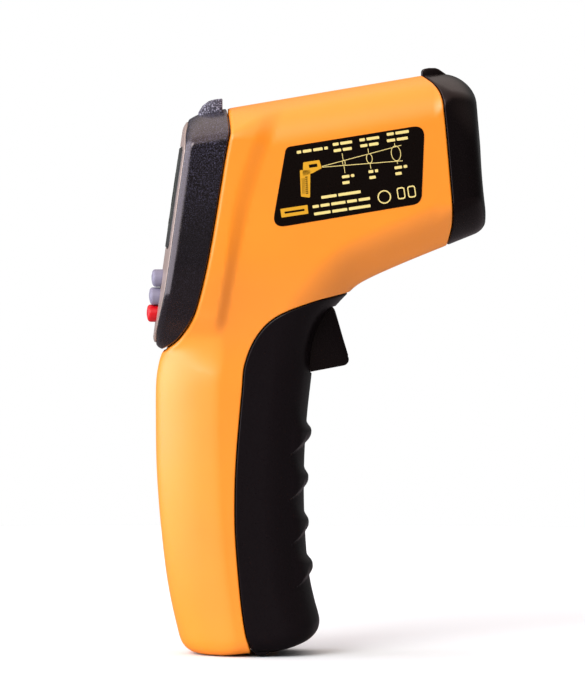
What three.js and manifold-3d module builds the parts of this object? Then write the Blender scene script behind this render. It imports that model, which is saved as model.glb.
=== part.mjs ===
// A pistol-grip infrared thermometer, in millimetres: +X towards the nose, +Y to the user's left,
// +Z up the handle. The origin is the middle of the flat base of the handle.
//
// The body is a thick slab. Its side outline and its half-width at each (x, z) are given below, and
// its edges are rounded by an amount that changes round the outline. Every shell is cut from that
// one body by parting lines drawn in the side view.
import * as THREE from 'three';
import { mergeVertices } from 'three/addons/utils/BufferGeometryUtils.js';
import Module from 'manifold-3d';

const wasm = await Module();
wasm.setup();

const { smoothstep, lerp, degToRad } = THREE.MathUtils;

// ---------------------------------------------------------------- driving dimensions

const WALL = 2.2;                 // shell thickness
const GAP = 0.3;                  // between neighbouring pieces
const REACH = 60;                 // further than any piece reaches in Y
const CELL = 5.2;                 // facet size on the free-form body

const TOP_TILT = degToRad(9.6);   // the barrel rises towards the nose
const TOP_START = new THREE.Vector2(0.8, 138.2);
const NOSE_FOOT = new THREE.Vector2(65.9, 113.7);
const NOSE_LEAN = degToRad(5);    // the nose leans back at its top
const REAR_FOOT = new THREE.Vector2(-18, 81);

const BARREL_HALF = 18.2;         // half-widths
const BARREL_TAPER = 0.018;
const COLLAR_STEP = 1.8;          // the display head is this much wider, each side
const HANDLE_HALF = 14.5;

const HINGE = new THREE.Vector2(8.8, 2.95);      // battery door, at the foot of the handle
const KNUCKLE_RADIUS = 2.8;
const LUG_HALF = 6;
const TRIGGER_PIVOT = new THREE.Vector2(22.5, 94);
const TRIGGER_HALF = 6.2;
const PIN_RADIUS = 1.2;
const PIN_HOLE_RADIUS = 1.5;

const LENS_CENTRE = new THREE.Vector2(64.6, 119.6);   // where the lens axis meets the nose face
const LENS_RADIUS = 7.4;
const TUBE_RADIUS = 9;
const LASER_RISE = 15.2;          // laser above the lens axis
const LASER_RADIUS = 3;

const CELL_RADIUS = 5.15;         // AAA cells
const CELL_LENGTH = 43.5;
const CELL_SPACING = 10.9;
const CELL_FOOT = new THREE.Vector2(6.6, 13.6);

const PANEL_DEPTH = 2.6;          // display fascia
const PANEL_MARGIN = 1.6;
const WINDOW = { low: 102.9, high: 128.4, half: 13.5 };
const BUTTONS = [
  { name: 'button_up', z: 95, half: 6.2 },
  { name: 'button_down', z: 90.65, half: 5.8 },
  { name: 'button_red', z: 86.3, half: 5.0 },
];
const BUTTON_HEIGHT = 4;
const BUTTON_PROUD = 2.5;

const SCREWS = [[21, 130], [25, 102.5], [-9.6, 67], [-6.2, 11]];
const SCREW = { head: 2.5, headHeight: 1.7, shank: 1.25, length: 14, seat: 8 };
const BOSS_RADIUS = 3.9;

// ---------------------------------------------------------------- helpers

function solid(geometry) {
  const bare = geometry.index ? geometry.toNonIndexed() : geometry.clone();
  for (const name of Object.keys(bare.attributes)) if (name !== 'position') bare.deleteAttribute(name);
  const merged = mergeVertices(bare, 1e-4);
  const mesh = new wasm.Mesh({
    numProp: 3,
    vertProperties: merged.attributes.position.array,
    triVerts: new Uint32Array(merged.index.array),
  });
  return new wasm.Manifold(mesh);
}

function geometryOf(manifold) {
  const mesh = manifold.getMesh();
  const geometry = new THREE.BufferGeometry();
  geometry.setAttribute('position', new THREE.BufferAttribute(mesh.vertProperties, 3));
  geometry.setIndex(new THREE.BufferAttribute(mesh.triVerts, 1));
  geometry.computeVertexNormals();
  return geometry;
}

const join = (...parts) => parts.reduce((a, b) => a.add(b));
const cut = (from, ...tools) => tools.reduce((a, b) => a.subtract(b), from);

function shapeOf(points) {
  return new THREE.Shape(points.map(([x, z]) => new THREE.Vector2(x, z)));
}

// A side-view shape, extruded across the body from y0 to y1.
function plate(shape, y0, y1, curveSegments = 8) {
  const geometry = new THREE.ExtrudeGeometry(shape, { depth: y1 - y0, bevelEnabled: false, curveSegments });
  return solid(geometry.rotateX(Math.PI / 2).translate(0, y1, 0));
}

function box(x0, x1, y0, y1, z0, z1) {
  return solid(new THREE.BoxGeometry(x1 - x0, y1 - y0, z1 - z0)
    .translate((x0 + x1) / 2, (y0 + y1) / 2, (z0 + z1) / 2));
}

// A cylinder or cone across the body, from y0 to y1.
function rod(x, z, radius, y0, y1, sides = 20) {
  return solid(new THREE.CylinderGeometry(radius, radius, y1 - y0, sides).translate(x, (y0 + y1) / 2, z));
}

// A turned piece along the lens axis: profile of [radius, distance ahead of the nose face] pairs.
function turned(profile, rise = 0, sides = 24) {
  const points = profile.map(([r, d]) => new THREE.Vector2(r, d)).reverse();
  const geometry = new THREE.LatheGeometry(points, sides);
  return solid(alongLensAxis(geometry, rise));
}

function alongLensAxis(geometry, rise = 0) {
  return geometry
    .rotateZ(-Math.PI / 2)
    .rotateY(-TOP_TILT)
    .translate(LENS_CENTRE.x - rise * Math.sin(TOP_TILT), 0, LENS_CENTRE.y + rise * Math.cos(TOP_TILT));
}

// ---------------------------------------------------------------- the body, as a field

const spline = (points, steps) => new THREE.SplineCurve(points.map(([x, z]) => new THREE.Vector2(x, z)))
  .getPoints(steps).map((p) => [p.x, p.y]);

const topZ = (x) => TOP_START.y + Math.tan(TOP_TILT) * (x - TOP_START.x);

const HANDLE_REAR = [
  [-15.7, 77], [-16.7, 74.2], [-17.5, 69], [-17.6, 60], [-17.4, 47], [-16.4, 33], [-14.6, 18],
  [-11.8, 5], [-7, -12],
];
const HANDLE_FRONT = [
  [27.5, -12], [24.3, 7], [22.7, 13.5], [21.5, 19], [20.6, 26.4], [20, 38], [20.1, 50],
  [20.8, 60.7], [21.9, 70.6], [22.6, 78], [24.6, 84], [27.9, 88],
];
const UNDERSIDE = [[27.9, 88], [31, 91.2], [34.8, 94.2], [43.4, 98.2], [57.1, 103.8], [90, 117]];

// The long edges of the slab. The nose, the rear face and the base trim it.
const OUTLINE = [
  ...spline(HANDLE_FRONT, 33),
  ...spline(UNDERSIDE, 14),
  [90, topZ(90)],
  [-40, topZ(-40)],
  [-40, 90.5],
  ...spline(HANDLE_REAR, 24),
];

// Distance inside the outline, negative outside it.
function outlineDepth(x, z) {
  let nearest = Infinity;
  let inside = false;
  OUTLINE.forEach(([ax, az], i) => {
    const [bx, bz] = OUTLINE[(i + 1) % OUTLINE.length];
    const dx = bx - ax;
    const dz = bz - az;
    const along = dx * dx + dz * dz;
    if (along === 0) return;
    const t = THREE.MathUtils.clamp(((x - ax) * dx + (z - az) * dz) / along, 0, 1);
    nearest = Math.min(nearest, Math.hypot(x - ax - t * dx, z - az - t * dz));
    if (az > z !== bz > z && x < ax + ((z - az) / dz) * dx) inside = !inside;
  });
  return inside ? nearest : -nearest;
}

const rearX = (z) => REAR_FOOT.x + 0.104 * (z - REAR_FOOT.y) + 0.00072 * (z - REAR_FOOT.y) ** 2;
const rearDepth = (x, z) => (x - rearX(z)) * Math.cos(degToRad(8));
const noseDepth = (x, z) => (NOSE_FOOT.x - x) * Math.cos(NOSE_LEAN) + (NOSE_FOOT.y - z) * Math.sin(NOSE_LEAN);
const baseDepth = (x, z) => z + 0.4 - 0.0155 * Math.max(0, x - 5.5) ** 2;

// The step from the display head down to the barrel.
const collarX = (z) => 6.9 - 0.13 * (130 - z) - 0.0065 * Math.max(0, 104 - z) ** 2;

function halfWidth(x, z) {
  const barrel = BARREL_HALF - BARREL_TAPER * x;
  const main = lerp(HANDLE_HALF, barrel, smoothstep(z, 72, 102));
  const collar = (1 - smoothstep(x, collarX(z) - 1.6, collarX(z) + 2.2)) * smoothstep(z, 80, 89);
  return main + COLLAR_STEP * collar;
}

// How far in from the outline the rounded edge runs.
function edgeSag(x, z) {
  const level = z - x * Math.tan(TOP_TILT);
  const handle = lerp(12, 5.6, smoothstep(x, -6, 12));
  const barrel = lerp(8.5, 5.2, smoothstep(level, 106, 126));
  return lerp(handle, barrel, smoothstep(z, 82, 104));
}

// The larger of two values, with the corner between them rounded off over r.
function roundMax(a, b, r) {
  const h = Math.max(r - Math.abs(a - b), 0) / r;
  return Math.max(a, b) + (h * h * r) / 4;
}

// Zero on the body's surface and negative inside it. An inset moves every face inwards.
function body(x, y, z, inset = 0, faceInset = inset) {
  const level = z - x * Math.tan(TOP_TILT);
  const upper = smoothstep(z, 84, 100);
  const half = halfWidth(x, z) - inset;
  const across = Math.abs(y) / half;
  const edge = edgeSag(x, z) * across ** lerp(2.4, 2, upper) - (outlineDepth(x, z) - inset);
  const side = Math.abs(y) - half;
  const nose = 1.8 * (y / 17) ** 2 - noseDepth(x, z) + faceInset;
  const rear = 1.6 * (y / 20) ** 2 - rearDepth(x, z) + faceInset;
  const base = -baseDepth(x, z) + inset;
  let field = roundMax(edge, side, lerp(5, 2.6, upper));
  field = roundMax(field, nose, lerp(2, 12, smoothstep(level, 118, 136)));
  field = roundMax(field, rear, lerp(2, 3, smoothstep(level, 118, 136)));
  return roundMax(field, base, 4.5);
}

// A closed mesh on the surface where the field is zero: one vertex in each grid cell that the
// surface crosses, drawn onto the surface, and one quad round each grid edge that it crosses.
function isoSurface(field, low, high, cell) {
  const count = low.map((v, i) => Math.round((high[i] - v) / cell) + 1);
  const place = (i, j, k) => [low[0] + i * cell, low[1] + j * cell, low[2] + k * cell];
  const index = (i, j, k) => (k * count[1] + j) * count[0] + i;
  const value = new Float64Array(count[0] * count[1] * count[2]);
  for (let k = 0; k < count[2]; k++)
    for (let j = 0; j < count[1]; j++)
      for (let i = 0; i < count[0]; i++) value[index(i, j, k)] = field(...place(i, j, k)) || 1e-9;

  const corners = [0, 1, 2, 3, 4, 5, 6, 7].map((c) => [c & 1, (c >> 1) & 1, c >> 2]);
  const edges = corners.flatMap((a, m) => corners.slice(m + 1)
    .filter((b) => Math.abs(a[0] - b[0]) + Math.abs(a[1] - b[1]) + Math.abs(a[2] - b[2]) === 1)
    .map((b) => [a, b]));
  const slope = (p) => p.map((v, i) => {
    const ahead = [...p];
    const behind = [...p];
    ahead[i] += 0.05;
    behind[i] -= 0.05;
    return (field(...ahead) - field(...behind)) / 0.1;
  });
  const positions = [];
  const vertexOf = new Map();
  for (let k = 0; k < count[2] - 1; k++)
    for (let j = 0; j < count[1] - 1; j++)
      for (let i = 0; i < count[0] - 1; i++) {
        const sum = [0, 0, 0];
        let crossed = 0;
        for (const [a, b] of edges) {
          const va = value[index(i + a[0], j + a[1], k + a[2])];
          const vb = value[index(i + b[0], j + b[1], k + b[2])];
          if (va < 0 === vb < 0) continue;
          const t = va / (va - vb);
          for (let d = 0; d < 3; d++) sum[d] += a[d] + t * (b[d] - a[d]);
          crossed++;
        }
        if (!crossed) continue;
        let p = place(i + sum[0] / crossed, j + sum[1] / crossed, k + sum[2] / crossed);
        for (let step = 0; step < 3; step++) {
          const g = slope(p);
          const size = g[0] ** 2 + g[1] ** 2 + g[2] ** 2;
          const move = THREE.MathUtils.clamp(field(...p) / size, -0.3 * cell, 0.3 * cell);
          p = p.map((v, d) => v - move * g[d]);
        }
        vertexOf.set(index(i, j, k), positions.length / 3);
        positions.push(...p);
      }

  const triangles = [];
  const quad = (a, b, c, d, flip) => triangles.push(...(flip ? [a, c, b, a, d, c] : [a, b, c, a, c, d]));
  const cellAt = (i, j, k) => vertexOf.get(index(i, j, k));
  for (let k = 1; k < count[2] - 1; k++)
    for (let j = 1; j < count[1] - 1; j++)
      for (let i = 1; i < count[0] - 1; i++) {
        const here = value[index(i, j, k)] < 0;
        if (here !== value[index(i + 1, j, k)] < 0)
          quad(cellAt(i, j - 1, k - 1), cellAt(i, j, k - 1), cellAt(i, j, k), cellAt(i, j - 1, k), !here);
        if (here !== value[index(i, j + 1, k)] < 0)
          quad(cellAt(i - 1, j, k - 1), cellAt(i - 1, j, k), cellAt(i, j, k), cellAt(i, j, k - 1), !here);
        if (here !== value[index(i, j, k + 1)] < 0)
          quad(cellAt(i - 1, j - 1, k), cellAt(i, j - 1, k), cellAt(i, j, k), cellAt(i - 1, j, k), !here);
      }
  const geometry = new THREE.BufferGeometry();
  geometry.setAttribute('position', new THREE.Float32BufferAttribute(positions, 3));
  geometry.setIndex(triangles);
  return geometry;
}

const madeBodies = new Map();

function bodySolid(inset, faceInset = inset) {
  const key = `${inset} ${faceInset}`;
  if (!madeBodies.has(key)) {
    const low = [-38, -(Math.ceil(24 / CELL) + 0.5) * CELL, -8];
    const high = [low[0] + Math.ceil(120 / CELL) * CELL, -low[1], low[2] + Math.ceil(165 / CELL) * CELL];
    madeBodies.set(key, solid(isoSurface((x, y, z) => body(x, y, z, inset, faceInset), low, high, CELL)));
  }
  return madeBodies.get(key);
}

// ---------------------------------------------------------------- parting lines, in the side view

const NOSE_PARTING = [
  [56.2, 96], [56.4, 103.8], [57, 110], [56.1, 121.9], [54.9, 135.2], [54.1, 141], [52.6, 144.2],
  [49.7, 147], [46, 152],
];
const REAR_PARTING = [
  [0.4, 150], [0.4, 138], [0.6, 132], [-0.7, 124.3], [-3.4, 107.8], [-5.7, 95.7], [-8.3, 86.2],
  [-11.5, 80.7], [-15.6, 77.2], [-24, 72.5],
];
const DOOR_PARTING = [
  [6.4, -1.5], [6.1, 1], [5.5, 3.2], [4.7, 6.2], [3.6, 14], [2.4, 28], [2.1, 38], [2.5, 50.3],
  [3.9, 66.8], [4.7, 74], [7.7, 80.9], [12.7, 85.8], [21.4, 89.2], [30.5, 91.3], [38, 92.4],
];

// The region on one side of a parting line, held back by half a gap.
function region(line, closing, shift) {
  const moved = spline(line, 2 * line.length).map(([x, z]) => [x + shift[0], z + shift[1]]);
  return shapeOf([...moved, ...closing]);
}

function noseZone(shift) {
  return plate(region(NOSE_PARTING, [[120, 152], [120, 96]], [shift, 0]), -REACH, REACH);
}

function rearZone(shift) {
  return plate(region(REAR_PARTING, [[-60, 72.5], [-60, 150]], [-shift, 0]), -REACH, REACH);
}

function doorZone(shift) {
  const closing = [[60, 92.4], [60, -20], [6.4, -20]];
  return plate(region(DOOR_PARTING, closing, [shift, -shift]), -REACH, REACH);
}

const outer = bodySolid(0);
const cavity = bodySolid(WALL);
const floorCut = box(-80, 120, -REACH, REACH, -20, 0);
const wallSolid = cut(outer, cavity, floorCut);

// ---------------------------------------------------------------- housing shells

function screwBoss(side) {
  return SCREWS.map(([x, z]) => (side > 0
    ? rod(x, z, BOSS_RADIUS, GAP / 2, 16, 16)
    : rod(x, z, BOSS_RADIUS, -16, -GAP / 2, 16)));
}

function housing(side) {
  const half = side > 0
    ? box(-80, 120, GAP / 2, REACH, -20, 170)
    : box(-80, 120, -REACH, -GAP / 2, -20, 170);
  const knuckleRoom = rod(HINGE.x, HINGE.y, KNUCKLE_RADIUS + 0.4, -14, 14);
  const triggerShape = shapeOf([[14, 84], [27.9, 84], [27.9, 94], [14, 94]]);
  const triggerRoom = plate(triggerShape, -TRIGGER_HALF - 0.5, TRIGGER_HALF + 0.5);
  const zones = [noseZone(-GAP / 2), rearZone(-GAP / 2), doorZone(-GAP / 2)];
  const trimmed = cut(wallSolid, ...zones, knuckleRoom, triggerRoom).intersect(half);
  const y0 = side > 0 ? TRIGGER_HALF + GAP : -17;
  const y1 = side > 0 ? 17 : -TRIGGER_HALF - GAP;
  const triggerBoss = rod(TRIGGER_PIVOT.x, TRIGGER_PIVOT.y, 3, y0, y1);
  const lug = hingeLug(side);
  const bosses = join(...screwBoss(side), triggerBoss).intersect(bodySolid(1));
  const pilotEnd = SCREW.seat - SCREW.length - 0.8;
  const pilots = SCREWS.map(([x, z]) => rod(x, z, SCREW.shank + GAP, pilotEnd, SCREW.seat + 1, 12));
  const wells = SCREWS.map(([x, z]) => rod(x, z, SCREW.head + 0.4, SCREW.seat, REACH, 16));
  const pinHoles = [
    rod(TRIGGER_PIVOT.x, TRIGGER_PIVOT.y, PIN_HOLE_RADIUS, -9.6, 9.6),
    rod(HINGE.x, HINGE.y, PIN_HOLE_RADIUS, -REACH, REACH),
  ];
  return cut(join(trimmed, bosses.intersect(half), lug), ...pilots, ...wells, ...pinHoles, floorCut);
}

// The lug that carries the hinge pin of the battery door, half on each shell.
function hingeLug(side) {
  const shape = shapeOf([[0, WALL + 0.6], [0, 0.15], [4.5, 0.6]]);
  shape.absarc(HINGE.x, HINGE.y, KNUCKLE_RADIUS, degToRad(-150), Math.PI / 2, false);
  shape.lineTo(3, HINGE.y + KNUCKLE_RADIUS);
  return side > 0 ? plate(shape, GAP / 2, LUG_HALF) : plate(shape, -LUG_HALF, -GAP / 2);
}

// ---------------------------------------------------------------- nose

function noseBezel() {
  const shell = cut(outer, bodySolid(WALL, 3.2)).intersect(noseZone(GAP / 2));
  const hoodRadius = TUBE_RADIUS + 1.4;
  const hood = turned([[0, 4], [hoodRadius, 4], [hoodRadius, -7.2], [0, -7.2], [0, 4]])
    .intersect(outer).intersect(noseZone(-2));
  const mouth = TUBE_RADIUS + 0.2;
  const throat = LENS_RADIUS - 0.4;
  const opening = turned([
    [0, 8], [mouth, 8], [mouth, 1.5], [throat, -5.6], [throat, -20], [0, -20], [0, 8],
  ]);
  const laserHole = turned([
    [0, 12], [2, 12], [2, -1.2], [2.6, -1.2], [2.6, -10], [0, -10], [0, 12],
  ], LASER_RISE);
  return cut(join(shell, hood, frontSight()), opening, laserHole);
}

function frontSight() {
  const blade = shapeOf([
    [50.4, 144.5], [50.4, 147.9], [51.9, 148.5], [54.2, 148.5], [56.6, 146.6], [57.4, 144.5],
  ]);
  return plate(blade, -2, 2).intersect(noseZone(GAP / 2));
}

// ---------------------------------------------------------------- rear bezel, fascia and display

const behindPanel = (depth) => {
  const line = spline([150, 125, 100, 81, 60].map((z) => [rearX(z) + depth, z]), 16);
  return plate(shapeOf([...line, [-70, 60], [-70, 150]]), -REACH, REACH);
};

function rearBezel() {
  const frame = outer.intersect(rearZone(GAP / 2));
  const pocket = bodySolid(PANEL_MARGIN - 0.15, -6).intersect(behindPanel(PANEL_DEPTH + GAP));
  const through = bodySolid(3.4, -12);
  return join(cut(frame, pocket, through), rearSight());
}

function rearSight() {
  const ramp = shapeOf([[-6.9, 135.5], [-4.6, 139.4], [-2.8, 140.5], [-0.7, 140.7], [-0.7, 135.5]]);
  const notch = shapeOf([[-12, 139.1], [-12, 145], [4, 145], [4, 139.1]]);
  return cut(plate(ramp, -4.5, 4.5), plate(notch, -1.1, 1.1));
}

function fascia() {
  const blank = bodySolid(PANEL_MARGIN + GAP - 0.15, 0).intersect(behindPanel(PANEL_DEPTH))
    .intersect(rearZone(GAP / 2));
  const opening = box(-40, 20, -WINDOW.half - GAP, WINDOW.half + GAP, WINDOW.low - GAP, WINDOW.high + GAP);
  const keys = BUTTONS.map((b) => buttonBlock(b, -40, 20, GAP));
  return cut(blank, opening, ...keys);
}

function displayWindow() {
  const block = box(-40, 20, -WINDOW.half, WINDOW.half, WINDOW.low, WINDOW.high);
  return bodySolid(PANEL_MARGIN, 0.1).intersect(behindPanel(1.6)).intersect(block);
}

// A pill that lies across the fascia: an upright round-ended block along X.
function buttonBlock({ z, half }, x0, x1, grow = 0) {
  const r = BUTTON_HEIGHT / 2 + grow;
  const shape = new THREE.Shape();
  shape.absarc(half - BUTTON_HEIGHT / 2, 0, r, -Math.PI / 2, Math.PI / 2, false);
  shape.absarc(-half + BUTTON_HEIGHT / 2, 0, r, Math.PI / 2, (3 * Math.PI) / 2, false);
  const settings = { depth: x1 - x0, bevelEnabled: false, curveSegments: 6 };
  const geometry = new THREE.ExtrudeGeometry(shape, settings);
  return solid(geometry.rotateZ(Math.PI / 2).rotateY(Math.PI / 2).translate(x0, 0, z));
}

function button(spec) {
  const face = rearX(spec.z);
  const cap = buttonBlock(spec, face - BUTTON_PROUD, face + PANEL_DEPTH + 0.5);
  const back = face + PANEL_DEPTH + 0.5;
  const flange = buttonBlock({ ...spec, half: spec.half + 1 }, back, back + 0.7, -0.1);
  return join(cap, flange);
}

// ---------------------------------------------------------------- battery door

const RIDGES = [
  { z: 56.1, height: 1.45 },
  { z: 44.5, height: 1.15 },
  { z: 33.25, height: 1.05 },
  { z: 22.5, height: 1.25 },
];
const CLAW_SWEEP = 2.2;           // how fast a ridge's lower edge drops away down the side

// Where the front of the handle is at height z.
function frontX(z) {
  let x = 10;
  while (outlineDepth(x, z) > 0) x += 0.05;
  return x;
}

// One finger ridge: a claw that is highest on the front and dies away down the sides.
function ridge({ z, height }) {
  const tip = frontX(z) + height;
  const lower = [0, 0.2, 0.7, 1.4, 2.6, 4, 5.4].map((s) => [tip - s, z - CLAW_SWEEP * Math.sqrt(s)]);
  const upper = [[tip - 5.6, z - 3.4], [tip - 2, z + 3], [tip - 0.5, z + 1.9], [tip, z + 0.9]];
  return plate(shapeOf([...lower, ...upper]), -12.6, 12.6);
}

function batteryDoor() {
  const zone = doorZone(GAP / 2);
  const skin = wallSolid.intersect(zone);
  const grownBody = bodySolid(-1.5);
  const ridges = RIDGES.map((spec) => cut(ridge(spec), cavity).intersect(grownBody));
  const lugSide = LUG_HALF + GAP;
  const knuckles = [
    rod(HINGE.x, HINGE.y, KNUCKLE_RADIUS, -12.6, -lugSide),
    rod(HINGE.x, HINGE.y, KNUCKLE_RADIUS, lugSide, 12.6),
  ];
  const lugRoom = rod(HINGE.x, HINGE.y, KNUCKLE_RADIUS + 0.5, -lugSide, lugSide);
  const lugRoomBelow = box(-6, HINGE.x, -lugSide, lugSide, -6, 8);
  const slotShape = shapeOf([[16, 70.2], [40, 71.6], [40, 80], [26.6, 91.5], [16, 91.5]]);
  const slot = plate(slotShape, -TRIGGER_HALF - 0.5, TRIGGER_HALF + 0.5);
  const pinHole = rod(HINGE.x, HINGE.y, PIN_HOLE_RADIUS, -12, 12);
  const panel = cut(join(skin, ...ridges), lugRoom, lugRoomBelow, slot, cornerClearance());
  return cut(join(panel, ...knuckles), pinHole, floorCut);
}

// Behind the hinge pin, the door's foot is turned about the pin so that it can swing.
function cornerClearance() {
  const below = box(-10, HINGE.x, -REACH, REACH, -10, HINGE.y);
  return cut(below, rod(HINGE.x, HINGE.y, KNUCKLE_RADIUS, -REACH, REACH, 28));
}

// ---------------------------------------------------------------- trigger

function trigger() {
  const blade = new THREE.Shape();
  blade.moveTo(27, 88.9);
  blade.lineTo(30.9, 75.9);
  blade.quadraticCurveTo(31.6, 73.4, 29.4, 73);
  blade.lineTo(20.6, 71.2);
  blade.lineTo(17.6, 74.5);
  blade.lineTo(18.2, 86);
  blade.lineTo(TRIGGER_PIVOT.x - 3, TRIGGER_PIVOT.y);
  blade.absarc(TRIGGER_PIVOT.x, TRIGGER_PIVOT.y, 3, Math.PI, degToRad(-20), true);
  const hole = rod(TRIGGER_PIVOT.x, TRIGGER_PIVOT.y, PIN_HOLE_RADIUS, -REACH, REACH);
  const hollowShape = shapeOf([[15, 90.5], [15, 87.2], [22, 87.2], [23, 90.5]]);
  const hollow = plate(hollowShape, -TRIGGER_HALF + 1.6, TRIGGER_HALF - 1.6);
  const springRoom = rod(TRIGGER_PIVOT.x, TRIGGER_PIVOT.y, 4.2, -2.6, 2.6);
  return cut(plate(blade, -TRIGGER_HALF, TRIGGER_HALF), hole, hollow, springRoom);
}

// A helical spring along X, closed as a solid wire.
function coil(radius, wire, length, turns, steps, sides = 5) {
  class Helix extends THREE.Curve {
    getPoint(t, target = new THREE.Vector3()) {
      const a = 2 * Math.PI * turns * t;
      return target.set(length * t, radius * Math.cos(a), radius * Math.sin(a));
    }
  }
  const section = new THREE.Shape(Array.from({ length: sides }, (_, i) => {
    const a = (2 * Math.PI * i) / sides;
    return new THREE.Vector2(wire * Math.cos(a), wire * Math.sin(a));
  }));
  return solid(new THREE.ExtrudeGeometry(section, { steps, extrudePath: new Helix(), bevelEnabled: false }));
}

// The torsion spring on the trigger pin: a coil with one leg up into the housing and one leg down
// behind the blade.
function triggerSpring() {
  const radius = 2.1;
  const turns = 3;
  class TorsionPath extends THREE.Curve {
    getPoint(t, target = new THREE.Vector3()) {
      const leg = 0.15;
      const u = THREE.MathUtils.clamp((t - leg) / (1 - 2 * leg), 0, 1);
      const a = 2 * Math.PI * turns * u;
      const past = Math.max(0, leg - t, t - 1 + leg) / leg;
      const rise = (t < 0.5 ? 3.5 : -6) * past;
      return target.set(-radius * Math.cos(a), 1.8 * (u - 0.5) * 2, radius * Math.sin(a) + rise);
    }
  }
  const wire = new THREE.Shape(Array.from({ length: 5 }, (_, i) => {
    const a = (2 * Math.PI * i) / 5;
    return new THREE.Vector2(0.28 * Math.cos(a), 0.28 * Math.sin(a));
  }));
  const settings = { steps: 44, extrudePath: new TorsionPath(), bevelEnabled: false };
  const geometry = new THREE.ExtrudeGeometry(wire, settings);
  return solid(geometry.translate(TRIGGER_PIVOT.x, 0, TRIGGER_PIVOT.y));
}

// ---------------------------------------------------------------- optics

function lensTube() {
  const tube = turned([[0, -7.6], [TUBE_RADIUS, -7.6], [TUBE_RADIUS, -20], [6.6, -30], [0, -30], [0, -7.6]]);
  const seat = LENS_RADIUS + 0.3;
  const bore = LENS_RADIUS - 0.6;
  return cut(tube, turned([
    [0, 0], [seat, 0], [seat, -10.2], [bore, -10.2], [bore, -19], [4.9, -28], [4.9, -40], [0, -40], [0, 0],
  ]));
}

function lens() {
  return turned([[0, -7.7], [LENS_RADIUS, -8], [LENS_RADIUS, -9.6], [0, -9.6], [0, -7.7]]);
}

function sensorCan() {
  return turned([
    [0, -25], [4.1, -25.3], [4.1, -29.4], [4.6, -29.4], [4.6, -30.2], [0, -30.2], [0, -25],
  ], 0, 20);
}

function laserModule() {
  return turned([[0, -6], [LASER_RADIUS, -6], [LASER_RADIUS, -17.5], [0, -17.5], [0, -6]], LASER_RISE, 20);
}

function laserWindow() {
  return turned([[0, -1.6], [2.3, -1.6], [2.3, -2.6], [0, -2.6], [0, -1.6]], LASER_RISE, 20);
}

function sensorBoard() {
  const geometry = alongLensAxis(new THREE.BoxGeometry(22, 1.2, 17).translate(0, -31.3, 0));
  return solid(geometry);
}

function laserBracket() {
  const block = alongLensAxis(new THREE.BoxGeometry(10, 9, 6).translate(0, -12, TUBE_RADIUS + 3.3));
  const bore = LASER_RADIUS + GAP;
  return cut(solid(block), turned([[0, 0], [bore, 0], [bore, -20], [0, -20], [0, 0]], LASER_RISE, 20));
}

// ---------------------------------------------------------------- electronics behind the fascia

// A slab parallel to the rear face: depth0 to depth1 in from it, z0 to z1 up, half wide.
function rearSlab(depth0, depth1, z0, z1, half) {
  const low = rearX(z0);
  const high = rearX(z1);
  const corners = [[low + depth0, z0], [low + depth1, z0], [high + depth1, z1], [high + depth0, z1]];
  return plate(shapeOf(corners), -half, half);
}

// ---------------------------------------------------------------- battery bay

const cellX = CELL_FOOT.x;

function upright(x, y, z0, z1, radius, sides = 20) {
  const cylinder = new THREE.CylinderGeometry(radius, radius, z1 - z0, sides);
  return solid(cylinder.rotateX(Math.PI / 2).translate(x, y, (z0 + z1) / 2));
}

function batteryCell(side) {
  const y = (side * CELL_SPACING) / 2;
  const foot = CELL_FOOT.y;
  const body = upright(cellX, y, foot, foot + CELL_LENGTH, CELL_RADIUS);
  return join(body, upright(cellX, y, foot + CELL_LENGTH - 0.01, foot + CELL_LENGTH + 0.9, 1.9, 12));
}

function batteryTray() {
  const foot = CELL_FOOT.y - 4.6;
  const head = CELL_FOOT.y + CELL_LENGTH + 2.6;
  const block = box(-1.2, 9.4, -11.9, 11.9, foot, head).intersect(bodySolid(WALL + 0.5));
  const room = box(0.9, 20, -10.9, 10.9, foot + 1.2, head - 1.2);
  const rib = box(0, 4, -0.2, 0.2, foot + 0.5, CELL_FOOT.y + CELL_LENGTH);
  return join(cut(block, room), rib);
}

function cellSpring(side) {
  const spring = coil(2.6, 0.35, 2.9, 2.5, 26);
  return spring.rotate([0, -90, 0]).translate([cellX, (side * CELL_SPACING) / 2, CELL_FOOT.y - 3.25 + 0.1]);
}

// ---------------------------------------------------------------- wires

const WIRES = {
  battery_lead_red: [[5, -6, 60.2], [3, -6.2, 68], [-1, -6.5, 82], [-4, -6.5, 90], [-7, -6.5, 91.5]],
  battery_lead_black: [[5, 6, 60.2], [3, 6.2, 68], [-1, 6.5, 82], [-4, 6.5, 90], [-7, 6.5, 91.5]],
  switch_lead: [[6.2, 3, 88], [3, 3, 89], [-2, 3, 93], [-6.6, 3, 95]],
  sensor_lead: [[32.5, 4, 114], [20, 6, 110.5], [5, 5, 109], [-4.2, 4, 111]],
  laser_lead: [[44.2, 0, 131.5], [32, -3, 128.5], [12, -5, 123], [-2.7, -4, 122]],
};
const WIRE_RADIUS = 0.55;

function wire(route) {
  const curve = new THREE.CatmullRomCurve3(route.map((p) => new THREE.Vector3(...p)));
  const section = new THREE.Shape().absarc(0, 0, WIRE_RADIUS, 0, 2 * Math.PI, false);
  return solid(new THREE.ExtrudeGeometry(section, { steps: 12, extrudePath: curve, curveSegments: 3 }));
}

// ---------------------------------------------------------------- screws

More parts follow.
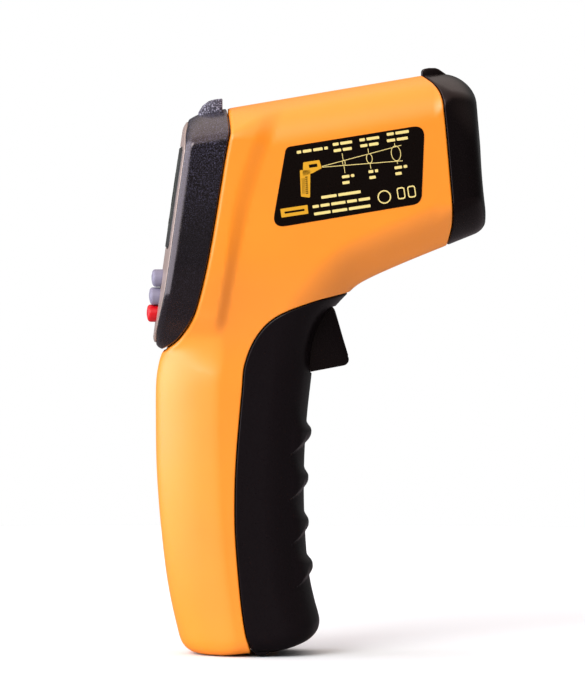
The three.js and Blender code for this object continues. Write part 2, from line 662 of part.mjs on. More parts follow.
function screw(x, z) {
  const { head, headHeight, shank, length, seat } = SCREW;
  const profile = [
    [0, -length], [shank * 0.5, -length], [shank, -length + 1.8], [shank, 0.05], [head, 0.05],
    [head, headHeight * 0.5], [head * 0.6, headHeight], [0, headHeight], [0, -length],
  ];
  const geometry = new THREE.LatheGeometry(profile.map(([r, y]) => new THREE.Vector2(r, y)), 16);
  const turnedScrew = solid(geometry.translate(x, seat, z));
  const top = seat + headHeight;
  const slots = [
    box(x - 1.5, x + 1.5, top - 0.9, top + 1, z - 0.3, z + 0.3),
    box(x - 0.3, x + 0.3, top - 0.9, top + 1, z - 1.5, z + 1.5),
  ];
  return cut(turnedScrew, ...slots);
}

// ---------------------------------------------------------------- materials and assembly

function plastic(color, roughness = 0.45) {
  return new THREE.MeshStandardMaterial({ color, roughness, metalness: 0 });
}

function metal(color, roughness = 0.35) {
  return new THREE.MeshStandardMaterial({ color, roughness, metalness: 1 });
}

const ORANGE = plastic(0xf79a22);
const BLACK = plastic(0x17151a, 0.5);
const GREY = plastic(0xa3a4b4, 0.6);
const RED = plastic(0xd9101c, 0.4);
const FASCIA = plastic(0xa79d92, 0.4);
const WINDOW_TINT = plastic(0x15181a, 0.1);
const BOARD = plastic(0x1f6b3a, 0.5);
const MILKY = plastic(0xd8dbd6, 0.3);
const STEEL = metal(0xb8bac0);
const BRASS = metal(0xb08d4a);
const LABEL = plastic(0x0f0e10, 0.35);
const CELL_WRAP = plastic(0x2c5f9e, 0.3);
const LCD_GLASS = plastic(0x7f8f7a, 0.2);
const RUBBER = plastic(0xb9bac2, 0.8);

const thermometer = new THREE.Group();

function add(name, manifold, material) {
  const mesh = new THREE.Mesh(geometryOf(manifold), material);
  mesh.name = name;
  thermometer.add(mesh);
}

add('right_housing', housing(-1), ORANGE);
add('left_housing', housing(1), ORANGE);
add('nose_bezel', noseBezel(), BLACK);
add('rear_bezel', rearBezel(), BLACK);
add('fascia', fascia(), FASCIA);
add('display_window', displayWindow(), WINDOW_TINT);
BUTTONS.forEach((spec) => add(spec.name, button(spec), spec.name === 'button_red' ? RED : GREY));

add('battery_door', batteryDoor(), BLACK);
add('door_hinge_pin', rod(HINGE.x, HINGE.y, PIN_RADIUS, -11.7, 11.7), STEEL);
add('trigger', trigger(), BLACK);
add('trigger_pin', rod(TRIGGER_PIVOT.x, TRIGGER_PIVOT.y, PIN_RADIUS, -9.3, 9.3), STEEL);
add('trigger_spring', triggerSpring(), STEEL);
add('trigger_switch', box(8.4, 14.6, -3.2, 3.2, 83, 88).add(box(14.5, 16, -1, 1, 84.6, 86.2)), BLACK);
add('switch_board', box(6.6, 8.1, -8, 8, 74, 92), BOARD);

add('ir_lens', lens(), MILKY);
add('lens_tube', lensTube(), BLACK);
add('thermopile_sensor', sensorCan(), STEEL);
add('sensor_board', sensorBoard(), BOARD);
add('laser_module', laserModule(), BRASS);
add('laser_window', laserWindow(), MILKY);
add('laser_bracket', laserBracket(), BLACK);

add('lcd_glass', rearSlab(3.2, 5.2, WINDOW.low - 1, WINDOW.high + 0.8, 13.8), LCD_GLASS);
add('backlight_plate', rearSlab(5.5, 7.7, WINDOW.low - 1, WINDOW.high + 0.6, 13.6), MILKY);
add('key_mat', rearSlab(4.7, 5.5, 83.6, 97.4, 8), RUBBER);
add('main_board', rearSlab(8.1, 9.3, 87, 129.6, 12.6), BOARD);

add('battery_tray', batteryTray(), BLACK);
add('battery_cell_right', batteryCell(-1), CELL_WRAP);
add('battery_cell_left', batteryCell(1), CELL_WRAP);
add('cell_spring_right', cellSpring(-1), STEEL);
add('cell_spring_left', cellSpring(1), STEEL);
const cellHead = CELL_FOOT.y + CELL_LENGTH;
add('cell_link_plate', box(cellX - 3, cellX + 3, -8.4, 8.4, cellHead + 1, cellHead + 1.3), STEEL);

const LABEL_OUTLINE = [[14.8, 128.4], [49.7, 134], [48.9, 114.3], [11.3, 108.1]];
const labelPlate = plate(shapeOf(LABEL_OUTLINE), -BARREL_HALF - 0.32, -BARREL_HALF - 0.1);
add('side_label', labelPlate.rotate([0, 0, THREE.MathUtils.radToDeg(Math.atan(BARREL_TAPER))]), LABEL);

const WIRE_COLOURS = { battery_lead_red: 0xc21a1a, battery_lead_black: 0x151515, laser_lead: 0xd8d8d4 };
Object.entries(WIRES).forEach(([name, route]) => {
  add(name, wire(route), plastic(WIRE_COLOURS[name] ?? 0xd8b23a));
});

SCREWS.forEach(([x, z], i) => add(`housing_screw_${i + 1}`, screw(x, z), STEEL));

export default thermometer;
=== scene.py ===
"""The looks of a pistol-grip infrared thermometer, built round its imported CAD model.

The outer skins all lie on one smooth body, which is given by a formula. Each skin is meshed on the
body, cut along its parting lines, given a rolled edge and then a wall. Lengths are in millimetres
until an object is made: +X towards the nose, +Y to the user's left, +Z up the handle.
"""

import math

import bmesh
import bpy
import numpy as np
from mathutils import Matrix, Vector


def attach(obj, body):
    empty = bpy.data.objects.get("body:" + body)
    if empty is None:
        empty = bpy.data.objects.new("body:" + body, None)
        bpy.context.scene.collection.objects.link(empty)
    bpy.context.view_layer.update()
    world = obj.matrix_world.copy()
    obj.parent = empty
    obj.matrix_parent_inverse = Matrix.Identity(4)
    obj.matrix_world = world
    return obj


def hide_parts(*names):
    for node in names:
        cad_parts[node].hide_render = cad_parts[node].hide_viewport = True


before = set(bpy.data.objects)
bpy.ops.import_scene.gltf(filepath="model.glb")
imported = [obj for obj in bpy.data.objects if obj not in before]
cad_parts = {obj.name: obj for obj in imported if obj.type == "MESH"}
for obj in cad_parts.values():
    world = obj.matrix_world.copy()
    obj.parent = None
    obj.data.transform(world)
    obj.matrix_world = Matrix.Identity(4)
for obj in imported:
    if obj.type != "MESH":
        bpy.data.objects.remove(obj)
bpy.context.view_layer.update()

MM = 0.001

# ---- driving dimensions

TILT = math.radians(9.6)          # the barrel rises towards the nose
TOP_START = (0.8, 138.2)
NOSE_FOOT = (65.95, 113.7)
NOSE_LEAN = math.radians(5)
REAR_FOOT = (-18.0, 81.0)
REAR_LEAN = math.radians(8)

BARREL_HALF = 18.2                # half widths
BARREL_TAPER = 0.018
COLLAR_STEP = 1.74                # the barrel is wider near the display
HANDLE_HALF = 14.5

HINGE = (8.8, 2.95)
KNUCKLE_RADIUS = 2.8
LUG_HALF = 6.0
TRIGGER_PIVOT = (22.5, 94.0)
TRIGGER_HALF = 6.2

LENS_CENTRE = (64.6, 119.6)
LENS_RADIUS = 7.4
LASER_RISE = 15.2

WINDOW_LOW, WINDOW_HIGH, WINDOW_HALF = 102.9, 128.4, 13.5
BUTTONS = (("button_up", 95.2, 6.2), ("button_down", 90.65, 5.8), ("button_red", 86.3, 5.0))
BUTTON_HEIGHT = 4.25
BUTTON_PROUD = 2.6
SCREWS = ((21, 130), (25, 102.5), (-9.6, 67), (-6.2, 11))

SEAM = 0.12                       # half the gap between neighbouring skins
SLIT = 0.1                        # the same round the fascia
WINDOW_SLIT = 0.08
KEY_GAP = 0.25
WALL = 1.8

# ---- small maths


def smooth(v, a, b):
    t = np.clip((v - a) / (b - a), 0, 1)
    return t * t * (3 - 2 * t)


def mix(a, b, t):
    return a + (b - a) * t


def round_max(a, b, r):
    """The larger of two values, with the corner between them rounded off over r."""
    h = np.maximum(r - np.abs(a - b), 0) / r
    return np.maximum(a, b) + h * h * r / 4


def spline(points):
    """A smooth curve through the points, in eight steps from each to the next."""
    p = np.array([points[0], *points, points[-1]], float)
    t = np.linspace(0, 1, 8, endpoint=False)[:, None]
    spans = [
        0.5 * (2 * b + (c - a) * t + (2 * a - 5 * b + 4 * c - d) * t**2 + (3 * b - a - 3 * c + d) * t**3)
        for a, b, c, d in zip(p, p[1:], p[2:], p[3:])
    ]
    return np.vstack([*spans, p[-1:]])


def polygon_depth(polygon, x, z):
    """Distance inside a closed side-view polygon, negative outside it."""
    x, z = np.broadcast_arrays(x, z)
    nearest = np.full(x.shape, np.inf)
    inside = np.zeros(x.shape, bool)
    for (ax, az), (bx, bz) in zip(polygon, np.roll(polygon, -1, axis=0)):
        dx, dz = bx - ax, bz - az
        length = dx * dx + dz * dz
        if length == 0:
            continue
        t = np.clip(((x - ax) * dx + (z - az) * dz) / length, 0, 1)
        nearest = np.minimum(nearest, np.hypot(x - ax - t * dx, z - az - t * dz))
        if dz:
            inside ^= ((az > z) != (bz > z)) & (x < ax + (z - az) / dz * dx)
    return np.where(inside, nearest, -nearest)


class Table:
    """A side-view function, sampled once and read back smoothly."""

    STEP = 0.4
    LOW = (-44.0, -26.0)
    HIGH = (94.0, 164.0)

    def __init__(self, function):
        x = np.arange(self.LOW[0], self.HIGH[0], self.STEP)
        z = np.arange(self.LOW[1], self.HIGH[1], self.STEP)
        self.values = function(x[:, None], z[None, :])

    def __call__(self, x, z):
        x, z = np.broadcast_arrays(x, z)
        base, weights = [], []
        for v, low, count in zip((x, z), self.LOW, self.values.shape):
            u = (v - low) / self.STEP
            i = np.clip(u.astype(int), 1, count - 3)
            t = u - i
            base.append(i)
            weights.append((
                0.5 * (-t + 2 * t**2 - t**3),
                0.5 * (2 - 5 * t**2 + 3 * t**3),
                0.5 * (t + 4 * t**2 - 3 * t**3),
                0.5 * (-(t**2) + t**3),
            ))
        return sum(
            weights[0][a] * weights[1][b] * self.values[base[0] + a - 1, base[1] + b - 1]
            for a in range(4)
            for b in range(4)
        )


# ---- the body

HANDLE_FRONT = [
    (27.5, -12), (24.3, 7), (22.7, 13.5), (21.5, 19), (20.6, 26.4), (20, 38), (20.1, 50),
    (20.8, 60.7), (21.9, 70.6), (22.6, 78), (24.6, 84), (27.9, 88),
]
UNDERSIDE = [(27.9, 88), (31, 91.2), (34.8, 94.2), (43.4, 98.2), (57.1, 103.8), (90, 117)]
HANDLE_REAR = [
    (-15.7, 77), (-16.7, 74.2), (-17.5, 69), (-17.6, 60), (-17.4, 47), (-16.4, 33), (-14.6, 18),
    (-11.8, 5), (-7, -12),
]


def top_z(x):
    return TOP_START[1] + math.tan(TILT) * (x - TOP_START[0])


OUTLINE = np.vstack([
    spline(HANDLE_FRONT),
    spline(UNDERSIDE)[1:],
    [(90, top_z(90)), (-40, top_z(-40)), (-40, 90.5)],
    spline(HANDLE_REAR),
])
outline_depth = Table(lambda x, z: polygon_depth(OUTLINE, x, z))


def rear_x(z):
    """Where the rear face is, on the middle plane."""
    return REAR_FOOT[0] + 0.138 * (z - REAR_FOOT[1]) + 0.0001 * (z - REAR_FOOT[1]) ** 2


def rear_crown(y):
    """How far the rear face falls back towards its sides."""
    return 1.1 * (y / 20) ** 2


def barrel_half(x):
    return BARREL_HALF - BARREL_TAPER * x


def above_barrel_axis(x, z):
    """Height measured square to the tilted barrel, as if at x = 0."""
    return z - x * math.tan(TILT)


def half_width(x, z):
    """Half the body's width: the handle, the barrel, and the collar that carries the display."""
    main = mix(HANDLE_HALF, barrel_half(x), smooth(z, 72, 102))
    collar_x = 2.6 + 0.17 * (z - 108) + 0.005 * np.maximum(0, z - 108) ** 2
    run = mix(1.7, 2.8, smooth(z, 90, 124))
    collar = (1 - smooth(x, collar_x - run, collar_x + run)) * smooth(z, 80, 86)
    return main + COLLAR_STEP * mix(1, 0.62, smooth(z, 98, 126)) * collar


def edge_sag(x, z):
    """How far in from the outline the rounded edge runs."""
    level = above_barrel_axis(x, z)
    handle = mix(12, 5.6, smooth(x, -6, 12))
    crown = mix(6.5, 5.2, smooth(x, 0, 9))
    barrel = mix(8.5, crown, smooth(level, 106, 126))
    return mix(handle, barrel, smooth(z, 82, 104))


def sleeve(x, y, z, inset=0.0):
    """The body without its end faces."""
    level = above_barrel_axis(x, z)
    upper = smooth(z, 84, 100)
    half = half_width(x, z) - inset
    across = np.abs(y) / half
    edge = edge_sag(x, z) * across ** mix(2.4, 2.0, upper) - (outline_depth(x, z) - inset)
    on_housing = smooth(x, 1, 12) * (1 - smooth(x, 52, 57))
    shoulder = mix(1.6, mix(3.5, 7, smooth(level, 112, 130)), on_housing)
    return round_max(edge, np.abs(y) - half, mix(5, shoulder, upper))


def body(x, y, z):
    """Zero on the body's surface, and negative inside it."""
    level = above_barrel_axis(x, z)
    high = smooth(level, 118, 136)
    to_nose_x, to_nose_z = NOSE_FOOT[0] - x, NOSE_FOOT[1] - z
    nose = 1.8 * (y / 17) ** 2 - to_nose_x * math.cos(NOSE_LEAN) - to_nose_z * math.sin(NOSE_LEAN)
    rear = rear_crown(y) - (x - rear_x(z)) * math.cos(REAR_LEAN)
    base = 0.65 * smooth(x, -2, 6.5) + 0.0155 * np.maximum(0, x - 7) ** 2 - z
    field = round_max(sleeve(x, y, z), nose, mix(3.5, 12, high))
    crown = smooth(level, 131, 138)
    chamfer = (field + rear + mix(1.25, 2.0, crown)) * math.sqrt(0.5)
    field = round_max(np.maximum(field, rear), chamfer, mix(0.3, 2.4, crown))
    return round_max(field, base, 4.5)


def raised(height):
    """The body, larger by a height all round."""
    return lambda x, y, z: body(x, y, z) - height


RIDGES = ((56.1, 1.45), (44.5, 1.15), (33.25, 1.05), (22.5, 1.25))      # lower edge, height
CLAW_SWEEP = 2.2


def ridge_height(x, z):
    """The finger ridges: claws with a crisp lower edge that sweeps back and down the grip's sides."""
    depth = outline_depth(x, z)
    fade = 1 - smooth(depth, 1.0, 5)
    total = 0
    for low, height in RIDGES:
        above = z - low
        claw = height + np.maximum(depth, 0) - (np.minimum(above, 0) / CLAW_SWEEP) ** 2
        bump = height * fade * (1 - smooth(above, 0.5, 3.0 + 1.4 * np.maximum(depth, 0)))
        total = total + np.clip(claw, 0, bump)
    return total


def grip(x, y, z):
    return body(x, y, z) - ridge_height(x, z)


# ---- skins


def unit(v):
    return v / np.maximum(np.linalg.norm(v, axis=1, keepdims=True), 1e-9)


def slope(field, points, h=0.08):
    """How fast the field changes along X, Y and Z at each point."""
    result = np.empty_like(points)
    for k in range(3):
        step = np.zeros(3)
        step[k] = h
        result[:, k] = (field(*(points + step).T) - field(*(points - step).T)) / (2 * h)
    return result


def pull_onto(field, points, reach, rounds):
    """Moves points onto the surface where the field is zero."""
    for _ in range(rounds):
        g = slope(field, points)
        move = field(*points.T) / np.maximum((g * g).sum(1), 1e-6)
        points = points - np.clip(move, -reach, reach)[:, None] * g
    return points


def take(values, axis, start, count):
    index = [slice(None)] * 3
    index[axis] = slice(start, start + count)
    return values[tuple(index)]


class Skin:
    """An open sheet of triangles on the surface where a field is zero."""

    def __init__(self, field, low, high, cell):
        self.field, self.cell, self.edges = field, cell, []
        axes = [np.arange(a, b + cell, cell) for a, b in zip(low, high)]
        counts = [len(a) for a in axes]
        value = field(axes[0][:, None, None], axes[1][None, :, None], axes[2][None, None, :])
        total = np.zeros([n - 1 for n in counts] + [3])
        hits = np.zeros([n - 1 for n in counts])
        crossings = []
        for axis in range(3):
            a, b = take(value, axis, 0, counts[axis] - 1), take(value, axis, 1, counts[axis] - 1)
            crossed = (a < 0) != (b < 0)
            t = np.where(crossed, a / np.where(crossed, a - b, 1), 0)
            crossings.append((crossed, a < 0))
            u, v = [k for k in range(3) if k != axis]
            for du in (0, 1):
                for dv in (0, 1):
                    c = take(take(crossed, u, du, counts[u] - 1), v, dv, counts[v] - 1)
                    s = take(take(t, u, du, counts[u] - 1), v, dv, counts[v] - 1)
                    hits += c
                    total[..., axis] += s
                    total[..., u] += c * du
                    total[..., v] += c * dv
        used = hits > 0
        number = np.full(used.shape, -1)
        number[used] = np.arange(used.sum())
        corner = np.argwhere(used)
        points = (corner + total[used] / hits[used][:, None]) * cell + [a[0] for a in axes]
        quads = []
        for axis, (crossed, entering) in enumerate(crossings):
            u, v = [k for k in range(3) if k != axis]
            inner = take(take(crossed, u, 1, counts[u] - 2), v, 1, counts[v] - 2)
            way = take(take(entering, u, 1, counts[u] - 2), v, 1, counts[v] - 2)
            at = np.argwhere(inner)
            ring = []
            for du, dv in ((0, 0), (1, 0), (1, 1), (0, 1)):
                cell_at = at.copy()
                cell_at[:, u] += du
                cell_at[:, v] += dv
                ring.append(number[tuple(cell_at.T)])
            ring = np.array(ring).T
            flip = way[inner] == (axis == 1)
            ring[flip] = ring[flip][:, ::-1]
            quads.append(ring)
        quads = np.vstack(quads)
        self.points = pull_onto(field, points, 0.3 * cell, 3)
        p = self.points[quads]
        first = np.linalg.norm(p[:, 0] - p[:, 2], axis=1) < np.linalg.norm(p[:, 1] - p[:, 3], axis=1)
        self.faces = np.vstack([
            quads[first][:, [0, 1, 2]], quads[first][:, [0, 2, 3]],
            quads[~first][:, [0, 1, 3]], quads[~first][:, [1, 2, 3]],
        ])
        self.normals = unit(slope(field, self.points))

    def mirrored(self):
        twin = object.__new__(Skin)
        twin.field, twin.cell, twin.edges = self.field, self.cell, list(self.edges)
        twin.points = self.points * [1, -1, 1]
        twin.normals = self.normals * [1, -1, 1]
        twin.faces = self.faces[:, ::-1]
        return twin

    def distance(self, inside):
        """Distance along the skin to an edge, and the way across it out of the skin."""
        g = slope(inside, self.points)
        g -= (g * self.normals).sum(1, keepdims=True) * self.normals
        size = np.maximum(np.linalg.norm(g, axis=1), 0.25)
        return inside(*self.points.T) / size, -g / size[:, None]

    def split(self, inside, level, snap):
        """Adds a row of vertices where inside is level, and gives every vertex's distance from it."""
        d, out = self.distance(inside)
        d = d - level
        near = np.abs(d) < snap
        moved = self.points[near] + d[near][:, None] * out[near]
        self.points = self.points.copy()
        self.points[near] = pull_onto(self.field, moved, self.cell, 1)
        d[near] = 0
        f = self.faces
        sign = np.sign(d)[f]
        crossed = np.stack([sign[:, k] * sign[:, (k + 1) % 3] < 0 for k in range(3)], 1)
        edges = np.vstack([f[crossed[:, k]][:, [k, (k + 1) % 3]] for k in range(3)])
        if len(edges) == 0:
            return d
        edges = np.unique(np.sort(edges, axis=1), axis=0)
        a, b = edges.T
        t = (d[a] / (d[a] - d[b]))[:, None]
        fresh = pull_onto(self.field, self.points[a] * (1 - t) + self.points[b] * t, self.cell, 1)
        keys = a * len(self.points) + b
        count = len(self.points)

        def between(p, q):
            low, high = np.minimum(p, q), np.maximum(p, q)
            return count + np.searchsorted(keys, low * count + high)

        number = crossed.sum(1)
        kept = f[number == 0]
        one = f[number == 1]
        turn = np.argmax(crossed[number == 1], axis=1)
        o, p, q = [one[np.arange(len(one)), (turn + k) % 3] for k in (2, 0, 1)]
        m = between(p, q)
        ones = [np.stack([o, p, m], 1), np.stack([o, m, q], 1)]
        two = f[number == 2]
        turn = np.argmin(crossed[number == 2], axis=1)
        q, r, p = [two[np.arange(len(two)), (turn + k) % 3] for k in (0, 1, 2)]
        m, n = between(p, q), between(r, p)
        twos = [np.stack([p, m, n], 1), np.stack([m, q, r], 1), np.stack([m, r, n], 1)]
        self.faces = np.vstack([kept, *ones, *twos])
        self.points = np.vstack([self.points, fresh])
        self.normals = unit(np.vstack([self.normals, self.normals[a] + self.normals[b]]))
        return np.concatenate([d, np.zeros(len(fresh))])

    def cut(self, inside, roll):
        """Keeps the part where inside is positive, with rows of vertices for a rolled edge."""
        self.split(inside, roll, 0.2 * self.cell)
        d = self.split(inside, 0, 0.2 * self.cell)
        self.faces = self.faces[d[self.faces].sum(1) > 0]
        used = np.unique(self.faces)
        number = np.zeros(len(self.points), int)
        number[used] = np.arange(len(used))
        self.points, self.normals, self.faces = self.points[used], self.normals[used], number[self.faces]
        for share in (0.1, 0.32, 0.62):
            self.split(inside, share * roll, 0.02 * roll)
        self.edges.append((inside, roll))

    def shell(self, wall):
        """Points, triangles and corner normals of the skin with a rolled edge and a wall."""
        n = unit(slope(self.field, self.points))
        self.normals = n
        sine = np.zeros(len(n))
        out = np.zeros_like(n)
        sink = np.zeros(len(n))
        for inside, roll in self.edges:
            d, way = self.distance(inside)
            s = np.clip((roll - d) / roll, 0, 1)
            closer = s > sine
            sine[closer], out[closer] = s[closer], way[closer]
            sink[closer] = roll * (1 - np.sqrt(1 - s[closer] ** 2))
        outer = self.points - n * sink[:, None]
        outer_normals = unit(n * np.sqrt(1 - sine**2)[:, None] + out * sine[:, None])
        inner = self.points - n * wall
        f = self.faces
        count = len(n)
        pairs = np.vstack([f[:, [0, 1]], f[:, [1, 2]], f[:, [2, 0]]])
        key = pairs[:, 0] * count + pairs[:, 1]
        twin = pairs[:, 1] * count + pairs[:, 0]
        a, b = pairs[~np.isin(key, twin)].T
        rim = np.vstack([np.stack([b, a, a + count], 1), np.stack([b, a + count, b + count], 1)])
        faces = np.vstack([f, f[:, ::-1] + count, rim])
        corner = np.vstack([outer_normals[f.ravel()], -n[f[:, ::-1].ravel()], out[rim.ravel() % count]])
        return np.vstack([outer, inner]), faces, unit(corner)


# ---- objects


def link_object(name, mesh):
    obj = bpy.data.objects.new(name, mesh)
    bpy.context.collection.objects.link(obj)
    return obj


def shade_smooth(mesh, sharp_angle):
    mesh.polygons.foreach_set("use_smooth", np.ones(len(mesh.polygons), bool))
    mesh.set_sharp_from_angle(angle=math.radians(sharp_angle))


def face_outward(obj, smooth_angle, weld=False):
    """Turns every face outward and shades the object smooth, up to an angle."""
    bm = bmesh.new()
    bm.from_mesh(obj.data)
    if weld:
        bmesh.ops.remove_doubles(bm, verts=bm.verts, dist=1e-7)
        bmesh.ops.dissolve_degenerate(bm, edges=bm.edges, dist=1e-8)
    bmesh.ops.recalc_face_normals(bm, faces=bm.faces)
    bm.to_mesh(obj.data)
    bm.free()
    shade_smooth(obj.data, smooth_angle)
    return obj


def new_object(name, points, faces, corner_normals=None, smooth_angle=None):
    """An object from points in millimetres and triangles."""
    mesh = bpy.data.meshes.new(name)
    mesh.vertices.add(len(points))
    mesh.vertices.foreach_set("co", (np.asarray(points) * MM).ravel())
    mesh.loops.add(faces.size)
    mesh.loops.foreach_set("vertex_index", faces.ravel().astype(np.int32))
    mesh.polygons.add(len(faces))
    mesh.polygons.foreach_set("loop_start", np.arange(0, faces.size, faces.shape[1], dtype=np.int32))
    mesh.update(calc_edges=True)
    mesh.polygons.foreach_set("use_smooth", np.ones(len(faces), bool))
    if corner_normals is not None:
        mesh.normals_split_custom_set(corner_normals.tolist())
    if smooth_angle is not None:
        mesh.set_sharp_from_angle(angle=math.radians(smooth_angle))
    return link_object(name, mesh)


def place(obj, material, nodes=(), body_name="housing"):
    """Gives an object its material and the body it moves with, and hides the CAD parts it stands for."""
    obj.data.materials.clear()
    obj.data.materials.append(material)
    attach(obj, body_name)
    if nodes:
        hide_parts(*nodes)
    return obj


def from_bmesh(name, bm, smooth_angle=32):
    mesh = bpy.data.meshes.new(name)
    bm.to_mesh(mesh)
    bm.free()
    shade_smooth(mesh, smooth_angle)
    return link_object(name, mesh)


def slab(name, outline, y0, y1, bevel, segments=3):
    """A side-view outline, given width from y0 to y1 and rounded edges."""
    bm = bmesh.new()
    ends = [[bm.verts.new((x * MM, y * MM, z * MM)) for x, z in outline] for y in (y0, y1)]
    bm.faces.new(ends[0])
    bm.faces.new(ends[1][::-1])
    count = len(outline)
    for i in range(count):
        j = (i + 1) % count
        bm.faces.new([ends[0][j], ends[0][i], ends[1][i], ends[1][j]])
    bmesh.ops.recalc_face_normals(bm, faces=bm.faces)
    sharp = [e for e in bm.edges if e.calc_face_angle(0) > math.radians(28)]
    bmesh.ops.bevel(
        bm, geom=sharp, offset=bevel * MM, segments=segments, profile=0.5, affect="EDGES", clamp_overlap=True
    )
    return from_bmesh(name, bm)


def turned(name, profile, place_at, steps=64, smooth_angle=30):
    """A closed profile of (radius, distance) points, turned about local +Y and moved by place_at."""
    points, faces = [], []
    count = len(profile)
    for k in range(steps):
        a = 2 * math.pi * k / steps
        points += [(r * math.cos(a), d, r * math.sin(a)) for r, d in profile]
    for k in range(steps):
        here, there = k * count, (k + 1) % steps * count
        for i in range(count):
            j = (i + 1) % count
            faces.append((here + i, here + j, there + j, there + i))
    points = np.array([place_at @ Vector(p) for p in points])
    return face_outward(new_object(name, points, np.array(faces)), smooth_angle, weld=True)


def join(name, objects):
    """One object from several."""
    with bpy.context.temp_override(active_object=objects[0], selected_editable_objects=objects):
        bpy.ops.object.join()
    objects[0].name = name
    return objects[0]


def rounded(corners, radii, steps):
    """A polygon with each corner rounded off."""
    corners = np.array(corners, float)
    result = []
    befores, afters = np.roll(corners, 1, axis=0), np.roll(corners, -1, axis=0)
    for before, corner, after, radius in zip(befores, corners, afters, radii):
        a = (before - corner) / np.linalg.norm(before - corner)
        b = (after - corner) / np.linalg.norm(after - corner)
        half = math.acos(np.clip(a @ b, -1, 1)) / 2
        reach = radius / math.tan(half)
        for t in np.linspace(0, 1, steps):
            p, q, r = corner + a * reach, corner, corner + b * reach
            result.append((1 - t) ** 2 * p + 2 * t * (1 - t) * q + t * t * r)
    return np.array(result)


class Relief:
    """Thin plates and rings laid on a curved surface, gathered into one object.

    The surface takes two coordinates and a height above it, and gives points in millimetres.
    """

    def __init__(self, surface, low, high):
        self.surface, self.low, self.high = surface, low, high
        self.points, self.faces, self.count = [], [], 0

    def band(self, outer, inner):
        """A closed ring of four-sided section between two outlines."""
        n = len(outer)
        for ring, height in ((outer, self.low), (outer, self.high), (inner, self.high), (inner, self.low)):
            ring = np.asarray(ring, float)
            self.points.append(self.surface(ring[:, 0], ring[:, 1], height))
        for row in range(4):
            for k in range(n):
                a, b = row * n + k, row * n + (k + 1) % n
                c, d = (row + 1) % 4 * n + (k + 1) % n, (row + 1) % 4 * n + k
                self.faces.append([self.count + v for v in (a, b, c, d)])
        self.count += 4 * n

    def plate(self, outline):
        outline = np.asarray(outline, float)
        self.band(outline, outline.mean(axis=0) + 0.01 * (outline - outline.mean(axis=0)))

    def ring(self, outline, width):
        outline = np.asarray(outline, float)
        centre = outline.mean(axis=0)
        reach = np.linalg.norm(outline - centre, axis=1, keepdims=True)
        self.band(outline, centre + (outline - centre) * (1 - width / reach))

    def bar(self, start, end, width):
        start, end = np.array(start, float), np.array(end, float)
        along = (end - start) / np.linalg.norm(end - start)
        side = np.array([-along[1], along[0]]) * width / 2
        self.plate([start - side, end - side, end + side, start + side])

    def box(self, low, high, radius=0.15):
        corners = [low, (high[0], low[1]), high, (low[0], high[1])]
        self.plate(rounded(corners, [radius] * 4, 3))

    def ellipse(self, centre, size, width):
        a = np.linspace(0, 2 * math.pi, 40, endpoint=False)
        self.ring(np.array(centre) + np.array(size) / 2 * np.stack([np.cos(a), np.sin(a)], 1), width)

    def make(self, name):
        return face_outward(new_object(name, np.vstack(self.points), np.array(self.faces)), 30)


# ---- materials


def srgb(*channels):
    """A colour given as 0 to 255 screen values."""
    linear = [((c / 255 + 0.055) / 1.055) ** 2.4 if c > 10 else c / 255 / 12.92 for c in channels]
    return (*linear, 1.0)


def feed(tree, node, inputs):
    """Gives a node's inputs their values, or links them to another node's output."""
    for key, value in inputs.items():
        if isinstance(value, bpy.types.NodeSocket):
            tree.links.new(value, node.inputs[key])
        else:
            node.inputs[key].default_value = value
    return node


def add_node(tree, kind, inputs, **settings):
    node = tree.nodes.new("ShaderNode" + kind)
    for key, value in settings.items():
        setattr(node, key, value)
    return feed(tree, node, inputs)


def remap(tree, value, start, end, low, high, **settings):
    """The value from start to end, turned into one from low to high."""
    inputs = {"Value": value, "From Min": start, "From Max": end, "To Min": low, "To Max": high}
    return add_node(tree, "MapRange", inputs, **settings).outputs["Result"]


def maths(tree, operation, a, b):
    return add_node(tree, "Math", {0: a, 1: b}, operation=operation).outputs["Value"]


def blend(tree, share, a, b):
    """A colour between a and b."""
    return add_node(tree, "Mix", {"Factor": share, "A": a, "B": b}, data_type="RGBA").outputs["Result"]


# Light flecks painted into a material's colour: partly the plastic's grain, partly painted glints. They grow
# from a tenth to full strength between the two heights below, where the light catches the top of the rear
# bezel.
FLECK_SCALE = 3400
GLINT_FADE_HEIGHTS = (0.106, 0.134)       # the flecks come out between these heights, in metres


